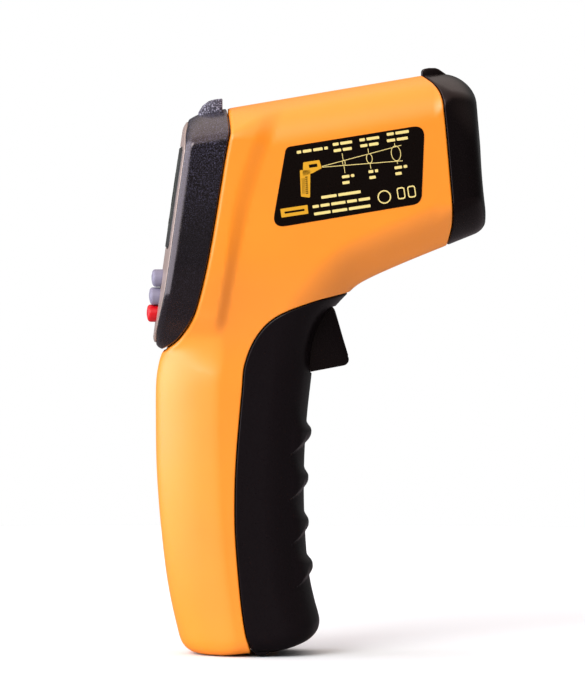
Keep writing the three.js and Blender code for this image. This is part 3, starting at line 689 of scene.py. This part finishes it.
def plastic(
    name, colour, roughness, grain=0.25, grain_scale=2600, shift=0.04, coat=0.0, metallic=0.0, shine=0.5,
    grain_and_glint_flecks=None, glint=(1, 1, 1),
):
    """Moulded plastic: a fine grain, a slight drift in colour and gloss, and perhaps light flecks, partly
    grain and partly painted glints.
    """
    material = bpy.data.materials.new(name)
    material.use_nodes = True
    tree = material.node_tree
    place_in_object = tree.nodes.new("ShaderNodeTexCoord").outputs["Object"]

    def noise(scale, detail):
        inputs = {"Scale": scale, "Detail": detail, "Vector": place_in_object}
        return add_node(tree, "TexNoise", inputs).outputs["Fac"]

    darker = tuple(c * (1 - shift) for c in colour[:3]) + (1,)
    lighter = tuple(min(1, c * (1 + shift)) for c in colour[:3]) + (1,)
    tint = blend(tree, remap(tree, noise(45, 2), 0.3, 0.7, 0, 1), darker, lighter)
    # Painted glints: light flecks in the base colour, faint low down and strongest near the top, where the
    # light catches the surface.
    if grain_and_glint_flecks:
        fleck_glint_dots = remap(tree, noise(FLECK_SCALE, 1), 0.5, 0.75, 0, 1)
        height = add_node(tree, "SeparateXYZ", {"Vector": place_in_object}).outputs["Z"]
        share = maths(tree, "MULTIPLY", fleck_glint_dots, remap(tree, height, *GLINT_FADE_HEIGHTS, 0.1, 1))
        tint = blend(tree, share, tint, grain_and_glint_flecks)
    fine = noise(grain_scale, 3)
    bump = add_node(tree, "Bump", {"Strength": grain, "Distance": 0.00004, "Height": fine})
    feed(tree, tree.nodes["Principled BSDF"], {
        "Base Color": tint,
        "Roughness": remap(tree, fine, 0.3, 0.7, roughness - 0.05, roughness + 0.05),
        "Metallic": metallic,
        "Specular IOR Level": shine,
        "Specular Tint": glint + (1,),
        "Coat Weight": coat,
        "Coat Roughness": 0.12,
        "Normal": bump.outputs["Normal"],
    })
    return material


ORANGE = plastic("orange_abs", srgb(246, 140, 14), 0.42, grain=0.1, shine=0.75)
BLACK = plastic("black_abs", srgb(8, 5, 6), 0.24, grain=0.15, shine=0.26, glint=(1, 0.8, 0.76))
# The rear bezel's light flecks are partly its grain and partly painted glints, brightest along its top.
SPARKLE = plastic(
    "rear_bezel_black", srgb(9, 6, 11), 0.26, grain=0.25, shift=0.1, shine=0.8, grain_and_glint_flecks=srgb(84, 82, 106),
    glint=(1, 0.87, 0.88),
)
GRIP = plastic("grip_black", srgb(14, 8, 11), 0.32, grain=0.2, shine=0.2)
FASCIA = plastic("fascia_silver", srgb(156, 139, 131), 0.34, grain=0.15, metallic=0.2)
WINDOW = plastic("window_dark", srgb(16, 15, 17), 0.12, grain=0.0, shine=0.4)
SCREEN = plastic("display_screen", srgb(50, 55, 50), 0.16, grain=0.0, shine=0.4)
SCREEN_BARS = plastic("display_bars", srgb(34, 38, 34), 0.16, grain=0.0, shine=0.4)
KEY_GREY = plastic("key_grey", srgb(128, 124, 144), 0.5, grain=0.2, shine=0.35)
KEY_RED = plastic("key_red", srgb(198, 5, 20), 0.38, grain=0.15, shine=0.35)
# The sight's bright flecks are partly grain and partly painted glints.
SIGHT = plastic(
    "sight_grey", srgb(56, 52, 66), 0.5, grain=0.6, grain_scale=1500, grain_and_glint_flecks=srgb(190, 188, 210)
)
RUBY = plastic("laser_glass", srgb(96, 10, 12), 0.08, grain=0.0, shine=0.6)
STEEL = plastic("steel", srgb(190, 192, 196), 0.28, grain=0.1, metallic=1.0)
BRASS = plastic("brass", srgb(186, 150, 84), 0.3, grain=0.1, metallic=1.0)
BOARD = plastic("board_green", srgb(34, 96, 58), 0.4, grain=0.2)
MILKY = plastic("lens_milky", srgb(214, 216, 210), 0.22, grain=0.1, coat=0.4)
SILICONE = plastic("silicone", srgb(186, 188, 194), 0.7)
CELL_WRAP = plastic("cell_wrap", srgb(40, 84, 150), 0.25, grain=0.05, coat=0.3)
LABEL = plastic("label_black", srgb(12, 6, 4), 0.3, grain=0.1, shine=0.12)
LABEL_YELLOW = plastic("label_yellow", srgb(210, 154, 36), 0.45, grain=0.05, shine=0.2)
LABEL_CREAM = plastic("label_cream", srgb(226, 206, 132), 0.45, grain=0.05, shine=0.2)
WIRE_RED = plastic("wire_red", srgb(190, 30, 30), 0.4)
WIRE_BLACK = plastic("wire_black", srgb(24, 24, 26), 0.4)
WIRE_YELLOW = plastic("wire_yellow", srgb(214, 176, 60), 0.4)

# ---- parting lines

NOSE_PARTING = [
    (56.2, 96), (56.4, 103.8), (57, 110), (56.1, 121.9), (54.9, 135.2), (54.1, 141), (52.6, 144.2),
    (49.7, 147), (46, 152),
]
REAR_PARTING = [
    (0.4, 150), (0.4, 138), (0.6, 132), (-0.7, 124.3), (-3.4, 107.8), (-5.7, 95.7), (-8.3, 86.2),
    (-11.5, 80.7), (-15.6, 77.2), (-24, 72.5),
]
DOOR_PARTING = [
    (6.4, -1.5), (6.1, 1), (5.5, 3.2), (4.7, 6.2), (3.6, 14), (2.4, 28), (2.1, 38), (2.5, 50.3),
    (3.9, 66.8), (4.7, 74), (7.7, 80.9), (12.7, 85.8), (21.4, 89.2), (30.5, 91.3), (38, 92.4),
]


def zone(line, closing):
    """The side-view area on one side of a parting line: positive inside."""
    polygon = np.vstack([spline(line), closing])
    return Table(lambda x, z: polygon_depth(polygon, x, z))


nose_zone = zone(NOSE_PARTING, [(120, 152), (120, 96)])
rear_zone = zone(REAR_PARTING, [(-60, 72.5), (-60, 150)])
door_zone = zone(DOOR_PARTING, [(60, 92.4), (60, -20), (6.4, -20)])


def within(zone_table):
    return lambda x, y, z: zone_table(x, z) - SEAM


def beyond(zone_table):
    return lambda x, y, z: -zone_table(x, z) - SEAM


# ---- housing

PARTING_ROLL = 0.4
RIM_ROLL = 1.1                    # the broad rounded rim beside the rear bezel
SEAM_ROLL = 0.25

housing_skin = Skin(body, (-21, -23, -2), (61, 2, 150), 0.85)
for parting, roll in ((nose_zone, PARTING_ROLL), (rear_zone, RIM_ROLL), (door_zone, PARTING_ROLL)):
    housing_skin.cut(beyond(parting), roll)
left_skin = housing_skin.mirrored()
housing_skin.cut(lambda x, y, z: -y - SEAM, SEAM_ROLL)
left_skin.cut(lambda x, y, z: y - SEAM, SEAM_ROLL)


LIP_REACH = 1.2                   # to either side of the parting line
LIP_BEHIND = WALL + 0.25


def lining(name, zone_table, extent):
    """The lip behind a parting line, which keeps the light from shining through the gap."""
    skin = Skin(raised(-LIP_BEHIND), (-21, -23, -2), (61, 23, 150), 1.0)
    skin.cut(lambda x, y, z: LIP_REACH - np.abs(zone_table(x, z)), 0.1)
    skin.cut(extent, 0.1)
    skin.edges.clear()
    place(new_object(name, *skin.shell(0.5)), BLACK)


lining("rear_lip", rear_zone, lambda x, y, z: z - 84)
lining("nose_lip", nose_zone, lambda x, y, z: z - 108)
lining("door_lip", door_zone, lambda x, y, z: np.minimum(np.minimum(z - 14, 84 - z), 11 - x))

WELL_RADIUS = 3.0
WELL_FLOOR = 7.6


def screw_well(sx, sz):
    return lambda x, y, z: np.hypot(x - sx, z - sz) - WELL_RADIUS


for sx, sz in SCREWS:
    left_skin.cut(screw_well(sx, sz), 0.4)

right_shell = new_object("right_shell", *housing_skin.shell(WALL))
left_shell = new_object("left_shell", *left_skin.shell(WALL))
place(right_shell, ORANGE, ["right_housing"])
place(left_shell, ORANGE, ["left_housing"])


def side_of(x, z, sink):
    """Half the body's width at (x, z), less a little."""
    y = np.linspace(4, 24, 1001)
    return float(y[np.argmax(body(x, y, z) > -sink)])


def well_tube(name, sx, sz):
    """The tube of a screw well: from the screw's seat out to the slanting wall of the shell."""
    points, faces, steps = [], [], 40
    for k in range(steps):
        a = 2 * math.pi * k / steps
        for radius, ends in ((WELL_RADIUS - 0.05, (0, 1)), (WELL_RADIUS + 0.75, (1, 0))):
            x, z = sx + radius * math.cos(a), sz + radius * math.sin(a)
            points += [(x, side_of(x, z, 0.7) if end else WELL_FLOOR, z) for end in ends]
        for i in range(4):
            j = (i + 1) % 4
            here, there = 4 * k, 4 * ((k + 1) % steps)
            faces.append((here + i, there + i, there + j, here + j))
    return new_object(name, points, np.array(faces), smooth_angle=40)


wells = [well_tube(f"screw_well_{i}", sx, sz) for i, (sx, sz) in enumerate(SCREWS)]
place(join("screw_wells", wells), ORANGE)

lug_outline = [(0.2, 3.2), (0.2, 0.3), (4.5, 0.75)]
lug_outline += [
    (HINGE[0] + KNUCKLE_RADIUS * math.cos(a), HINGE[1] + KNUCKLE_RADIUS * math.sin(a))
    for a in np.radians(np.linspace(-150, 90, 17))
]
lug_outline += [(3, HINGE[1] + KNUCKLE_RADIUS)]
lug = slab("hinge_lug", lug_outline, -LUG_HALF + 0.1, LUG_HALF - 0.1, 0.3)
place(lug, ORANGE)

# ---- nose


def nose_point(rise):
    """A point on the nose's face, above the middle of the lens."""
    return LENS_CENTRE[0] - rise * math.sin(TILT), LENS_CENTRE[1] + rise * math.cos(TILT)


def along_lens(rise=0.0):
    """Puts a piece turned about +Y along the barrel, with its zero at the nose face."""
    x, z = nose_point(rise)
    turn = Matrix.Rotation(-TILT, 4, "Y") @ Matrix.Rotation(-math.pi / 2, 4, "Z")
    return Matrix.Translation((x, 0, z)) @ turn


def from_axis(rise, radius):
    """Distance outside a round hole along the barrel."""
    x0, z0 = nose_point(rise)
    return lambda x, y, z: np.hypot(y, (z - z0) * math.cos(TILT) - (x - x0) * math.sin(TILT)) - radius


MOUTH_RADIUS = 10.2
LASER_HOLE = 2.4
nose_skin = Skin(body, (47, -21, 101), (69, 21, 151), 0.7)
nose_skin.cut(within(nose_zone), PARTING_ROLL)
nose_skin.cut(from_axis(0, MOUTH_RADIUS), 0.9)
nose_skin.cut(from_axis(LASER_RISE, LASER_HOLE), 0.5)
nose = new_object("nose_shell", *nose_skin.shell(WALL))

funnel = turned("funnel", [
    (MOUTH_RADIUS - 0.3, -1.0), (MOUTH_RADIUS + 0.5, -1.4), (MOUTH_RADIUS + 0.5, -3.2),
    (LENS_RADIUS + 1.4, -10.4), (LENS_RADIUS - 0.3, -10.4), (LENS_RADIUS - 0.3, -10.0),
    (LENS_RADIUS + 0.1, -9.7), (LENS_RADIUS + 0.1, -7.2), (LENS_RADIUS - 0.5, -6.8),
    (LENS_RADIUS - 0.3, -6.2), (LENS_RADIUS + 0.9, -3.6), (LENS_RADIUS + 1.3, -3.3),
    (MOUTH_RADIUS - 1.0, -3.1), (MOUTH_RADIUS - 0.5, -2.6),
], along_lens(), 96, 25)
laser_profile = [(2.2, -0.6), (3.2, -0.6), (3.2, -5), (2.2, -5)]
laser_tube = turned("laser_tube", laser_profile, along_lens(LASER_RISE), 40)

sight_outline = [
    (49.8, 144.4), (49.8, 147.7), (50.3, 148.2), (51.6, 148.45), (53.3, 148.45), (54.2, 148.1),
    (55.8, 147.0), (57.2, 145.6), (57.2, 144.4),
]
front_sight = slab("front_sight", sight_outline, -2, 2, 0.35)
nose = join("nose_bezel_skin", [nose, funnel, laser_tube, front_sight])
place(nose, BLACK, ["nose_bezel"])

LENS_BACK, GROOVE_FLOOR, GROOVE_TOP = -9.6, -8.0, -7.82
GROOVE_PITCH = 0.42
lens_profile = [(0, LENS_BACK), (LENS_RADIUS, LENS_BACK)]
for k in range(int(LENS_RADIUS / GROOVE_PITCH)):
    r = LENS_RADIUS - k * GROOVE_PITCH
    lens_profile += [(r, GROOVE_FLOOR), (r - 0.08, GROOVE_TOP - 0.12 * k / 17)]
lens_profile += [(0, GROOVE_FLOOR)]
lens = turned("fresnel_lens", lens_profile, along_lens(), 72, 20)
place(lens, MILKY, ["ir_lens"])

# ---- rear bezel and fascia

PANEL_INSET = 1.9
FASCIA_PROUD = 0.15
WINDOW_PROUD = 0.3


def panel(x, y, z):
    """Distance inside the outline of the fascia, seen from behind."""
    return -sleeve(rear_x(z) + 3.5, y, z, PANEL_INSET)


def rounded_box(y, z, half, low, high, radius):
    """Distance outside a rounded rectangle, seen from behind."""
    a = np.abs(y) - half + radius
    b = np.abs(z - (low + high) / 2) - (high - low) / 2 + radius
    return np.hypot(np.maximum(a, 0), np.maximum(b, 0)) + np.minimum(np.maximum(a, b), 0) - radius


def outside_panel(x, y, z):
    return -panel(x, y, z) - SLIT


def inside_panel(x, y, z):
    return panel(x, y, z) - SLIT


def window_edge(y, z):
    return rounded_box(y, z, WINDOW_HALF, WINDOW_LOW, WINDOW_HIGH, 2.4)


def outside_window(x, y, z):
    return window_edge(y, z) - WINDOW_SLIT


def inside_window(x, y, z):
    return -window_edge(y, z) - WINDOW_SLIT


def outside_key(z0, half):
    r = BUTTON_HEIGHT / 2
    return lambda x, y, z: rounded_box(y, z, half, z0 - r, z0 + r, r) - KEY_GAP


def rear_only(x, y, z):
    """Positive near the rear face."""
    return rear_x(z) + 5.5 - x


bezel_skin = Skin(body, (-21, -23, 73), (4, 23, 143), 0.6)
bezel_skin.cut(within(rear_zone), PARTING_ROLL)


def ring_only(x, y, z):
    """Positive away from the fascia's place on the rear face."""
    return np.maximum(outside_panel(x, y, z), x - rear_x(z) - 4.5)


bezel_skin.cut(ring_only, 0.25)
bezel = new_object("rear_shell", *bezel_skin.shell(2.6))
rear_sight_outline = [
    (-6.9, 134.5), (-6.7, 137.2), (-5.6, 138.9), (-4.1, 140.05), (-2.6, 140.5), (-0.75, 140.7),
    (-0.75, 134.5),
]
rear_sight = slab("rear_sight", rear_sight_outline, -4.5, 4.5, 0.3)
place(bezel, SPARKLE, ["rear_bezel"])
place(rear_sight, SIGHT)


def rear_skin(face, low, high):
    """The part of a face near the rear, before it gets its own edges."""
    skin = Skin(face, low, high, 0.7)
    skin.cut(rear_only, 0.3)
    skin.edges.clear()
    return skin


fascia_skin = rear_skin(raised(FASCIA_PROUD), (-22, -21, 75), (0, 21, 140))
fascia_skin.cut(inside_panel, 0.35)
fascia_skin.cut(outside_window, 0.2)
for _, z0, half in BUTTONS:
    fascia_skin.cut(outside_key(z0, half), 0.3)
place(new_object("fascia_skin", *fascia_skin.shell(1.6)), FASCIA, ["fascia"])

window_skin = rear_skin(raised(WINDOW_PROUD), (-21, -16, 100), (-4, 16, 131))
window_skin.cut(inside_window, 0.4)
window = new_object("window_skin", *window_skin.shell(1.4))
place(window, WINDOW, ["display_window"])


def on_window(y, z, height):
    """Points on the display window, seen from behind."""
    depth = rear_crown(y) - WINDOW_PROUD - height
    return np.stack([rear_x(z) + depth / math.cos(REAR_LEAN), -y, z], -1)


SCREEN_LOW, SCREEN_HIGH, SCREEN_HALF = 107.4, 125.4, 10.6
DIGIT_LEAN = 0.08
screen = Relief(on_window, -0.3, 0.03)
STRIPS = 12                       # narrow enough to follow the window's curve
for k in range(STRIPS):
    y0, y1 = [mix(-SCREEN_HALF, SCREEN_HALF, (k + e) / STRIPS) for e in (0, 1)]
    screen.plate([(y0, SCREEN_LOW), (y1, SCREEN_LOW), (y1, SCREEN_HIGH), (y0, SCREEN_HIGH)])
place(screen.make("display_screen"), SCREEN)


def draw_digit(relief, y, z, wide, tall, thick):
    """The seven bars of a display digit, all unlit."""
    gap = thick * 0.75

    def at(across, up):
        return y + across + DIGIT_LEAN * up, z + up

    for row in (0, 0.5, 1):
        relief.bar(at(gap, row * tall), at(wide - gap, row * tall), thick)
    for low in (0, 0.5):
        for side in (0, wide):
            relief.bar(at(side, low * tall + gap), at(side, (low + 0.5) * tall - gap), thick)


digits = Relief(on_window, 0.0, 0.06)
for start in (-7.6, -2.9, 1.8):
    draw_digit(digits, start, 114.0, 3.0, 7.4, 0.75)
digits.box((6.0, 113.6), (6.9, 114.5), 0.2)
for start in (-7.4, -4.4, -1.4, 1.6, 4.6):
    digits.box((start, 109.0), (start + 2.0, 110.4), 0.3)
place(digits.make("display_bars"), SCREEN_BARS)

# ---- keys


def key_cap(name, z0, half, material, slot, body_name):
    """A domed pill that lies across the fascia."""
    face = rear_x(z0)
    radius = BUTTON_HEIGHT / 2
    dome, dome_start = 0.85, -BUTTON_PROUD + 1.0
    rows = [(3.2, 0.0), (dome_start, 0.0)]                # depth behind the fascia, shrink
    rows += [
        (dome_start - dome * math.sin(a), dome * (1 - math.cos(a)))
        for a in np.linspace(0.25, math.pi / 2, 6)
    ]
    rows += [(-BUTTON_PROUD + 0.06, 1.25), (-BUTTON_PROUD, 1.6)]
    steps = 20
    points, faces = [], []
    ring = 2 * steps
    for depth, shrink in rows:
        r = radius - shrink
        for end in (1, -1):
            for k in range(steps):
                a = -math.pi / 2 + math.pi * k / (steps - 1)
                y = end * (half - radius + r * math.cos(a))
                points.append((face + depth, y, z0 + end * r * math.sin(a)))
    for i in range(len(rows) - 1):
        for k in range(ring):
            a, b = i * ring + k, i * ring + (k + 1) % ring
            faces.append((a, b, b + ring, a + ring))
    bm = bmesh.new()
    verts = [bm.verts.new((x * MM, y * MM, z * MM)) for x, y, z in points]
    for f in faces:
        bm.faces.new([verts[i] for i in f])
    bm.faces.new(verts[:ring][::-1])
    bm.faces.new(verts[-ring:])
    bmesh.ops.recalc_face_normals(bm, faces=bm.faces)
    return place(from_bmesh(name + "_cap", bm, 50), material, [name], body_name)


KEYS = (
    (KEY_GREY, "key_grey", "key_up"), (KEY_GREY, "key_grey", "key_down"), (KEY_RED, "key_red", "key_red")
)
for (name, z0, half), key_finish in zip(BUTTONS, KEYS):
    key_cap(name, z0, half, *key_finish)

# ---- battery door

SLOT_LOW, SLOT_HIGH = 71.2, 88.0


def outside_slot(x, y, z):
    return rounded_box(y, z, TRIGGER_HALF + 0.5, SLOT_LOW, SLOT_HIGH, 1.4)


def front_of_grip(x, y, z):
    """Negative in the trigger's slot, which goes through the front only."""
    return np.maximum(outside_slot(x, y, z), 12 - x)


def clear_of_hinge(x, y, z):
    """The foot of the door is turned about its pin, so that it can swing."""
    corner = KNUCKLE_RADIUS - np.hypot(np.minimum(x - HINGE[0], 0), np.minimum(z - HINGE[1], 0))
    corner = corner + 0.5 * np.maximum(z - HINGE[1], 0)
    past_lug = np.maximum(x - HINGE[0] - KNUCKLE_RADIUS - 0.5, z - HINGE[1] - KNUCKLE_RADIUS - 2)
    return np.minimum(corner, np.maximum(np.abs(y) - LUG_HALF - 0.3, past_lug))


door_skin = Skin(grip, (0, -19, -2), (34, 19, 94), 0.6)
door_skin.cut(within(door_zone), PARTING_ROLL)
door_skin.cut(front_of_grip, 0.25)
door_skin.cut(clear_of_hinge, 0.3)
door = new_object("door_skin", *door_skin.shell(WALL))


def knuckle(name, y0, y1, bore=1.5, chamfer=0.3):
    outer, inner = KNUCKLE_RADIUS, KNUCKLE_RADIUS - chamfer
    profile = [(bore, y0), (inner, y0), (outer, y0 + chamfer), (outer, y1 - chamfer), (inner, y1), (bore, y1)]
    return turned(name, profile, Matrix.Translation((HINGE[0], 0, HINGE[1])), 40)


KNUCKLE_END = 12.4
knuckles = [
    knuckle("knuckle_0", LUG_HALF + 0.3, KNUCKLE_END),
    knuckle("knuckle_1", -KNUCKLE_END, -LUG_HALF - 0.3),
]
place(join("door_skin", [door, *knuckles]), GRIP, ["battery_door"], "door")

# ---- trigger

pivot_x, pivot_z = TRIGGER_PIVOT
blade = [(25.4, 89.2), (27.5, 87.75), (28.5, 84.4), (29.7, 80.2), (31.0, 75.9)]
blade += [(29.5 + 1.7 * math.cos(a), 74.7 + 1.6 * math.sin(a)) for a in np.linspace(0.5, -1.45, 8)]
blade += [(20.6, 71.4), (17.8, 74.5), (18.2, 86), (pivot_x - 3, pivot_z)]
blade += [(pivot_x + 3 * math.cos(a), pivot_z + 3 * math.sin(a)) for a in np.linspace(math.pi * 0.8, -0.3, 9)]
trigger = slab("trigger_blade", blade, -TRIGGER_HALF, TRIGGER_HALF, 0.8, 4)
place(trigger, BLACK, ["trigger"], "trigger_arm")

# ---- side label

LABEL_FOOT = (11.3, 108.1)
LABEL_TILT = math.radians(8.5)


def on_side(u, v, height):
    """Points on the flat right side: u runs along the label's lines, v across them."""
    x = LABEL_FOOT[0] + u * math.cos(LABEL_TILT) - v * math.sin(LABEL_TILT)
    z = LABEL_FOOT[1] + u * math.sin(LABEL_TILT) + v * math.cos(LABEL_TILT)
    return np.stack([x, -barrel_half(x) - height, z], -1)


label = Relief(on_side, -0.3, 0.1)
label.plate(rounded([(0, 0), (38.1, 0.6), (41.8, 20.0), (6.5, 19.6)], (2.6, 2.8, 2.6, 1.6), 10))
place(label.make("label_plate"), LABEL, ["side_label"])

marks = Relief(on_side, 0.05, 0.13)          # solid yellow
marks.plate(rounded([(10.2, 15.2), (14.3, 15.2), (14.6, 13.1), (12.2, 12.2), (9.6, 11.8)], [0.25] * 5, 4))
marks.plate(rounded([(9.1, 13.4), (11.7, 13.0), (10.6, 6.2), (8.4, 6.8)], [0.25] * 4, 4))
marks.plate(rounded([(2.8, 2.3), (9.6, 2.3), (9.7, 4.5), (2.8, 4.5)], [0.15] * 4, 3))
place(marks.make("label_marks"), LABEL_YELLOW)

inlay = Relief(on_side, 0.08, 0.16)          # dark details on the yellow
inlay.box((11.5, 13.6), (13.6, 14.4), 0.1)
for k in range(9):
    inlay.box((10.15 - 0.05 * k, 11.3 - 0.5 * k), (10.75 - 0.05 * k, 11.55 - 0.5 * k), 0.05)
for k in range(3):
    inlay.bar((9.3 + 0.3 * k, 11.3), (8.95 + 0.3 * k, 7.4), 0.08)
inlay.box((3.7, 3.15), (8.8, 3.65), 0.2)
place(inlay.make("label_inlay"), LABEL)

lines = Relief(on_side, 0.05, 0.13)          # thin pale print
lines.bar((14.7, 13.5), (35.2, 15.8), 0.16)
lines.bar((14.7, 13.3), (35.0, 11.9), 0.16)
for centre, size in (((20.3, 13.6), (0.8, 1.5)), ((26.8, 13.7), (1.6, 2.5)), ((33.6, 14.0), (2.5, 3.9))):
    lines.ellipse(centre, size, 0.17)
STALKS = (
    (20.2, 11.0, 12.8), (20.2, 14.4, 16.0), (26.8, 11.1, 12.4), (26.8, 15.0, 16.2), (33.6, 11.3, 12.0),
    (33.6, 15.9, 16.6),
)
for u, low, high in STALKS:
    lines.bar((u, low), (u, high), 0.14)
WORDS = (                                     # start, height of the line, lengths of its blocks
    (9.0, 17.9, (1.1, 2.2, 2.4, 0.9)), (18.2, 18.5, (1.5, 3.0)), (18.2, 16.9, (1.9, 2.3)),
    (25.0, 18.6, (1.4, 3.2)), (25.0, 17.1, (1.8, 2.4)), (32.0, 19.0, (1.8, 3.4)), (31.8, 17.4, (2.1, 2.8)),
    (19.3, 10.1, (1.9, 0.8)), (19.2, 8.6, (1.8,)), (26.1, 10.4, (1.2, 0.8)), (26.1, 8.9, (1.6,)),
    (32.7, 10.4, (1.9, 0.9)), (32.7, 8.9, (1.6,)),
    (13.4, 5.8, (3.9, 5.7)), (10.9, 3.8, (1.6, 2.3, 3.6, 2.5, 2.9)), (11.0, 1.95, (4.2, 3.8, 5.5)),
)
LETTER_HALF, WORD_SPACE = 0.36, 0.42
for start, height, blocks in WORDS:
    for length in blocks:
        lines.box((start, height - LETTER_HALF), (start + length, height + LETTER_HALF), 0.18)
        start += length + WORD_SPACE
lines.ellipse((29.1, 3.6), (3.4, 3.4), 0.3)
for u in (32.4, 35.1):
    outline = rounded([(u, 2.4), (u + 2, 2.4), (u + 2, 5.4), (u, 5.4)], [0.7] * 4, 6)
    lines.ring(outline, 0.34)
place(lines.make("label_lines"), LABEL_CREAM)

# ---- pieces carried over from the CAD

CARRIED = {
    STEEL: ["door_hinge_pin", "trigger_pin", "trigger_spring", "thermopile_sensor", "cell_spring_right",
            "cell_spring_left", "cell_link_plate", *[f"housing_screw_{i}" for i in range(1, 5)]],
    BLACK: ["trigger_switch", "lens_tube", "laser_bracket", "battery_tray"],
    BOARD: ["switch_board", "sensor_board", "main_board"],
    BRASS: ["laser_module"],
    MILKY: ["backlight_plate", "lcd_glass"],
    RUBY: ["laser_window"],
    SILICONE: ["key_mat"],
    CELL_WRAP: ["battery_cell_right", "battery_cell_left"],
    WIRE_RED: ["battery_lead_red"],
    WIRE_BLACK: ["battery_lead_black"],
    WIRE_YELLOW: ["switch_lead", "sensor_lead", "laser_lead"],
}
for material, names in CARRIED.items():
    for name in names:
        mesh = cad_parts[name].data
        mesh.materials.clear()
        mesh.materials.append(material)

# ---- stage, light and camera

VIEW_CENTRE = Vector((0.0171, 0.0, 0.0797))
VIEW_DISTANCE = 1.6
VIEW_WIDTH = 0.1485
VIEW_AZIMUTH = math.radians(-2)
VIEW_ELEVATION = math.radians(2)


def make_stage():
    """A pale round floor, which is dark in reflections so that the black plastic stays black."""
    bm = bmesh.new()
    bmesh.ops.create_circle(bm, cap_ends=True, segments=96, radius=0.5)
    floor = from_bmesh("floor", bm)
    floor.location.z = -0.0002
    material = bpy.data.materials.new("pale_floor")
    material.use_nodes = True
    tree = material.node_tree
    mirrored = tree.nodes.new("ShaderNodeLightPath").outputs["Is Glossy Ray"]
    feed(tree, tree.nodes["Principled BSDF"], {
        "Base Color": blend(tree, mirrored, (0.8, 0.86, 0.89, 1), (0.16, 0.15, 0.16, 1)),
        "Roughness": 1.0,
        "Specular IOR Level": 0.0,
    })
    floor.data.materials.append(material)


SKY_LOW, SKY_TOP, SKY_LEFT = 0.12, 1.2, 3.5
TOP_COLOUR = (1.0, 0.84, 0.78)
LEFT_COLOUR = (0.94, 0.94, 1.06)


def make_sky():
    """White to the camera. To everything else, a dim studio with a soft box overhead and one at the left."""
    world = bpy.data.worlds.new("studio")
    world.use_nodes = True
    tree = world.node_tree
    direction = tree.nodes.new("ShaderNodeTexCoord").outputs["Generated"]
    parts = add_node(tree, "SeparateXYZ", {"Vector": direction}).outputs
    colour = tree.nodes.new("ShaderNodeCombineXYZ")
    for channel, top, left in zip(("X", "Y", "Z"), TOP_COLOUR, LEFT_COLOUR):
        overhead = remap(tree, parts["Z"], 0.2, 0.9, 0, SKY_TOP * top, interpolation_type="SMOOTHSTEP")
        aside = remap(tree, parts["X"], -0.6, -0.95, 0, SKY_LEFT * left, interpolation_type="SMOOTHSTEP")
        total = maths(tree, "ADD", maths(tree, "ADD", overhead, aside), SKY_LOW)
        feed(tree, colour, {channel: total})
    seen = tree.nodes.new("ShaderNodeLightPath").outputs["Is Camera Ray"]
    sky = blend(tree, seen, colour.outputs["Vector"], (1, 1, 1, 1))
    feed(tree, tree.nodes["Background"], {"Color": sky})
    bpy.context.scene.world = world


def make_key_light():
    """A soft light from the upper left, in front of the object."""
    key = bpy.data.lights.new("key", "SUN")
    key.energy = 2.25
    key.angle = math.radians(34)
    lamp = link_object("key", key)
    lamp.rotation_euler = Vector((0.5, 0.72, -0.5)).to_track_quat("-Z", "Y").to_euler()


make_stage()
make_sky()
make_key_light()
bpy.context.scene.view_settings.view_transform = "Standard"

camera_data = bpy.data.cameras.new("camera")
camera_data.sensor_width = 36
camera_data.lens = camera_data.sensor_width * VIEW_DISTANCE / VIEW_WIDTH
camera_data.sensor_fit = "HORIZONTAL"
camera = link_object("camera", camera_data)
away = Vector((
    math.sin(VIEW_AZIMUTH) * math.cos(VIEW_ELEVATION),
    -math.cos(VIEW_AZIMUTH) * math.cos(VIEW_ELEVATION),
    math.sin(VIEW_ELEVATION),
))
camera.location = VIEW_CENTRE + VIEW_DISTANCE * away
camera.rotation_euler = (-away).to_track_quat("-Z", "Y").to_euler()
bpy.context.scene.camera = camera
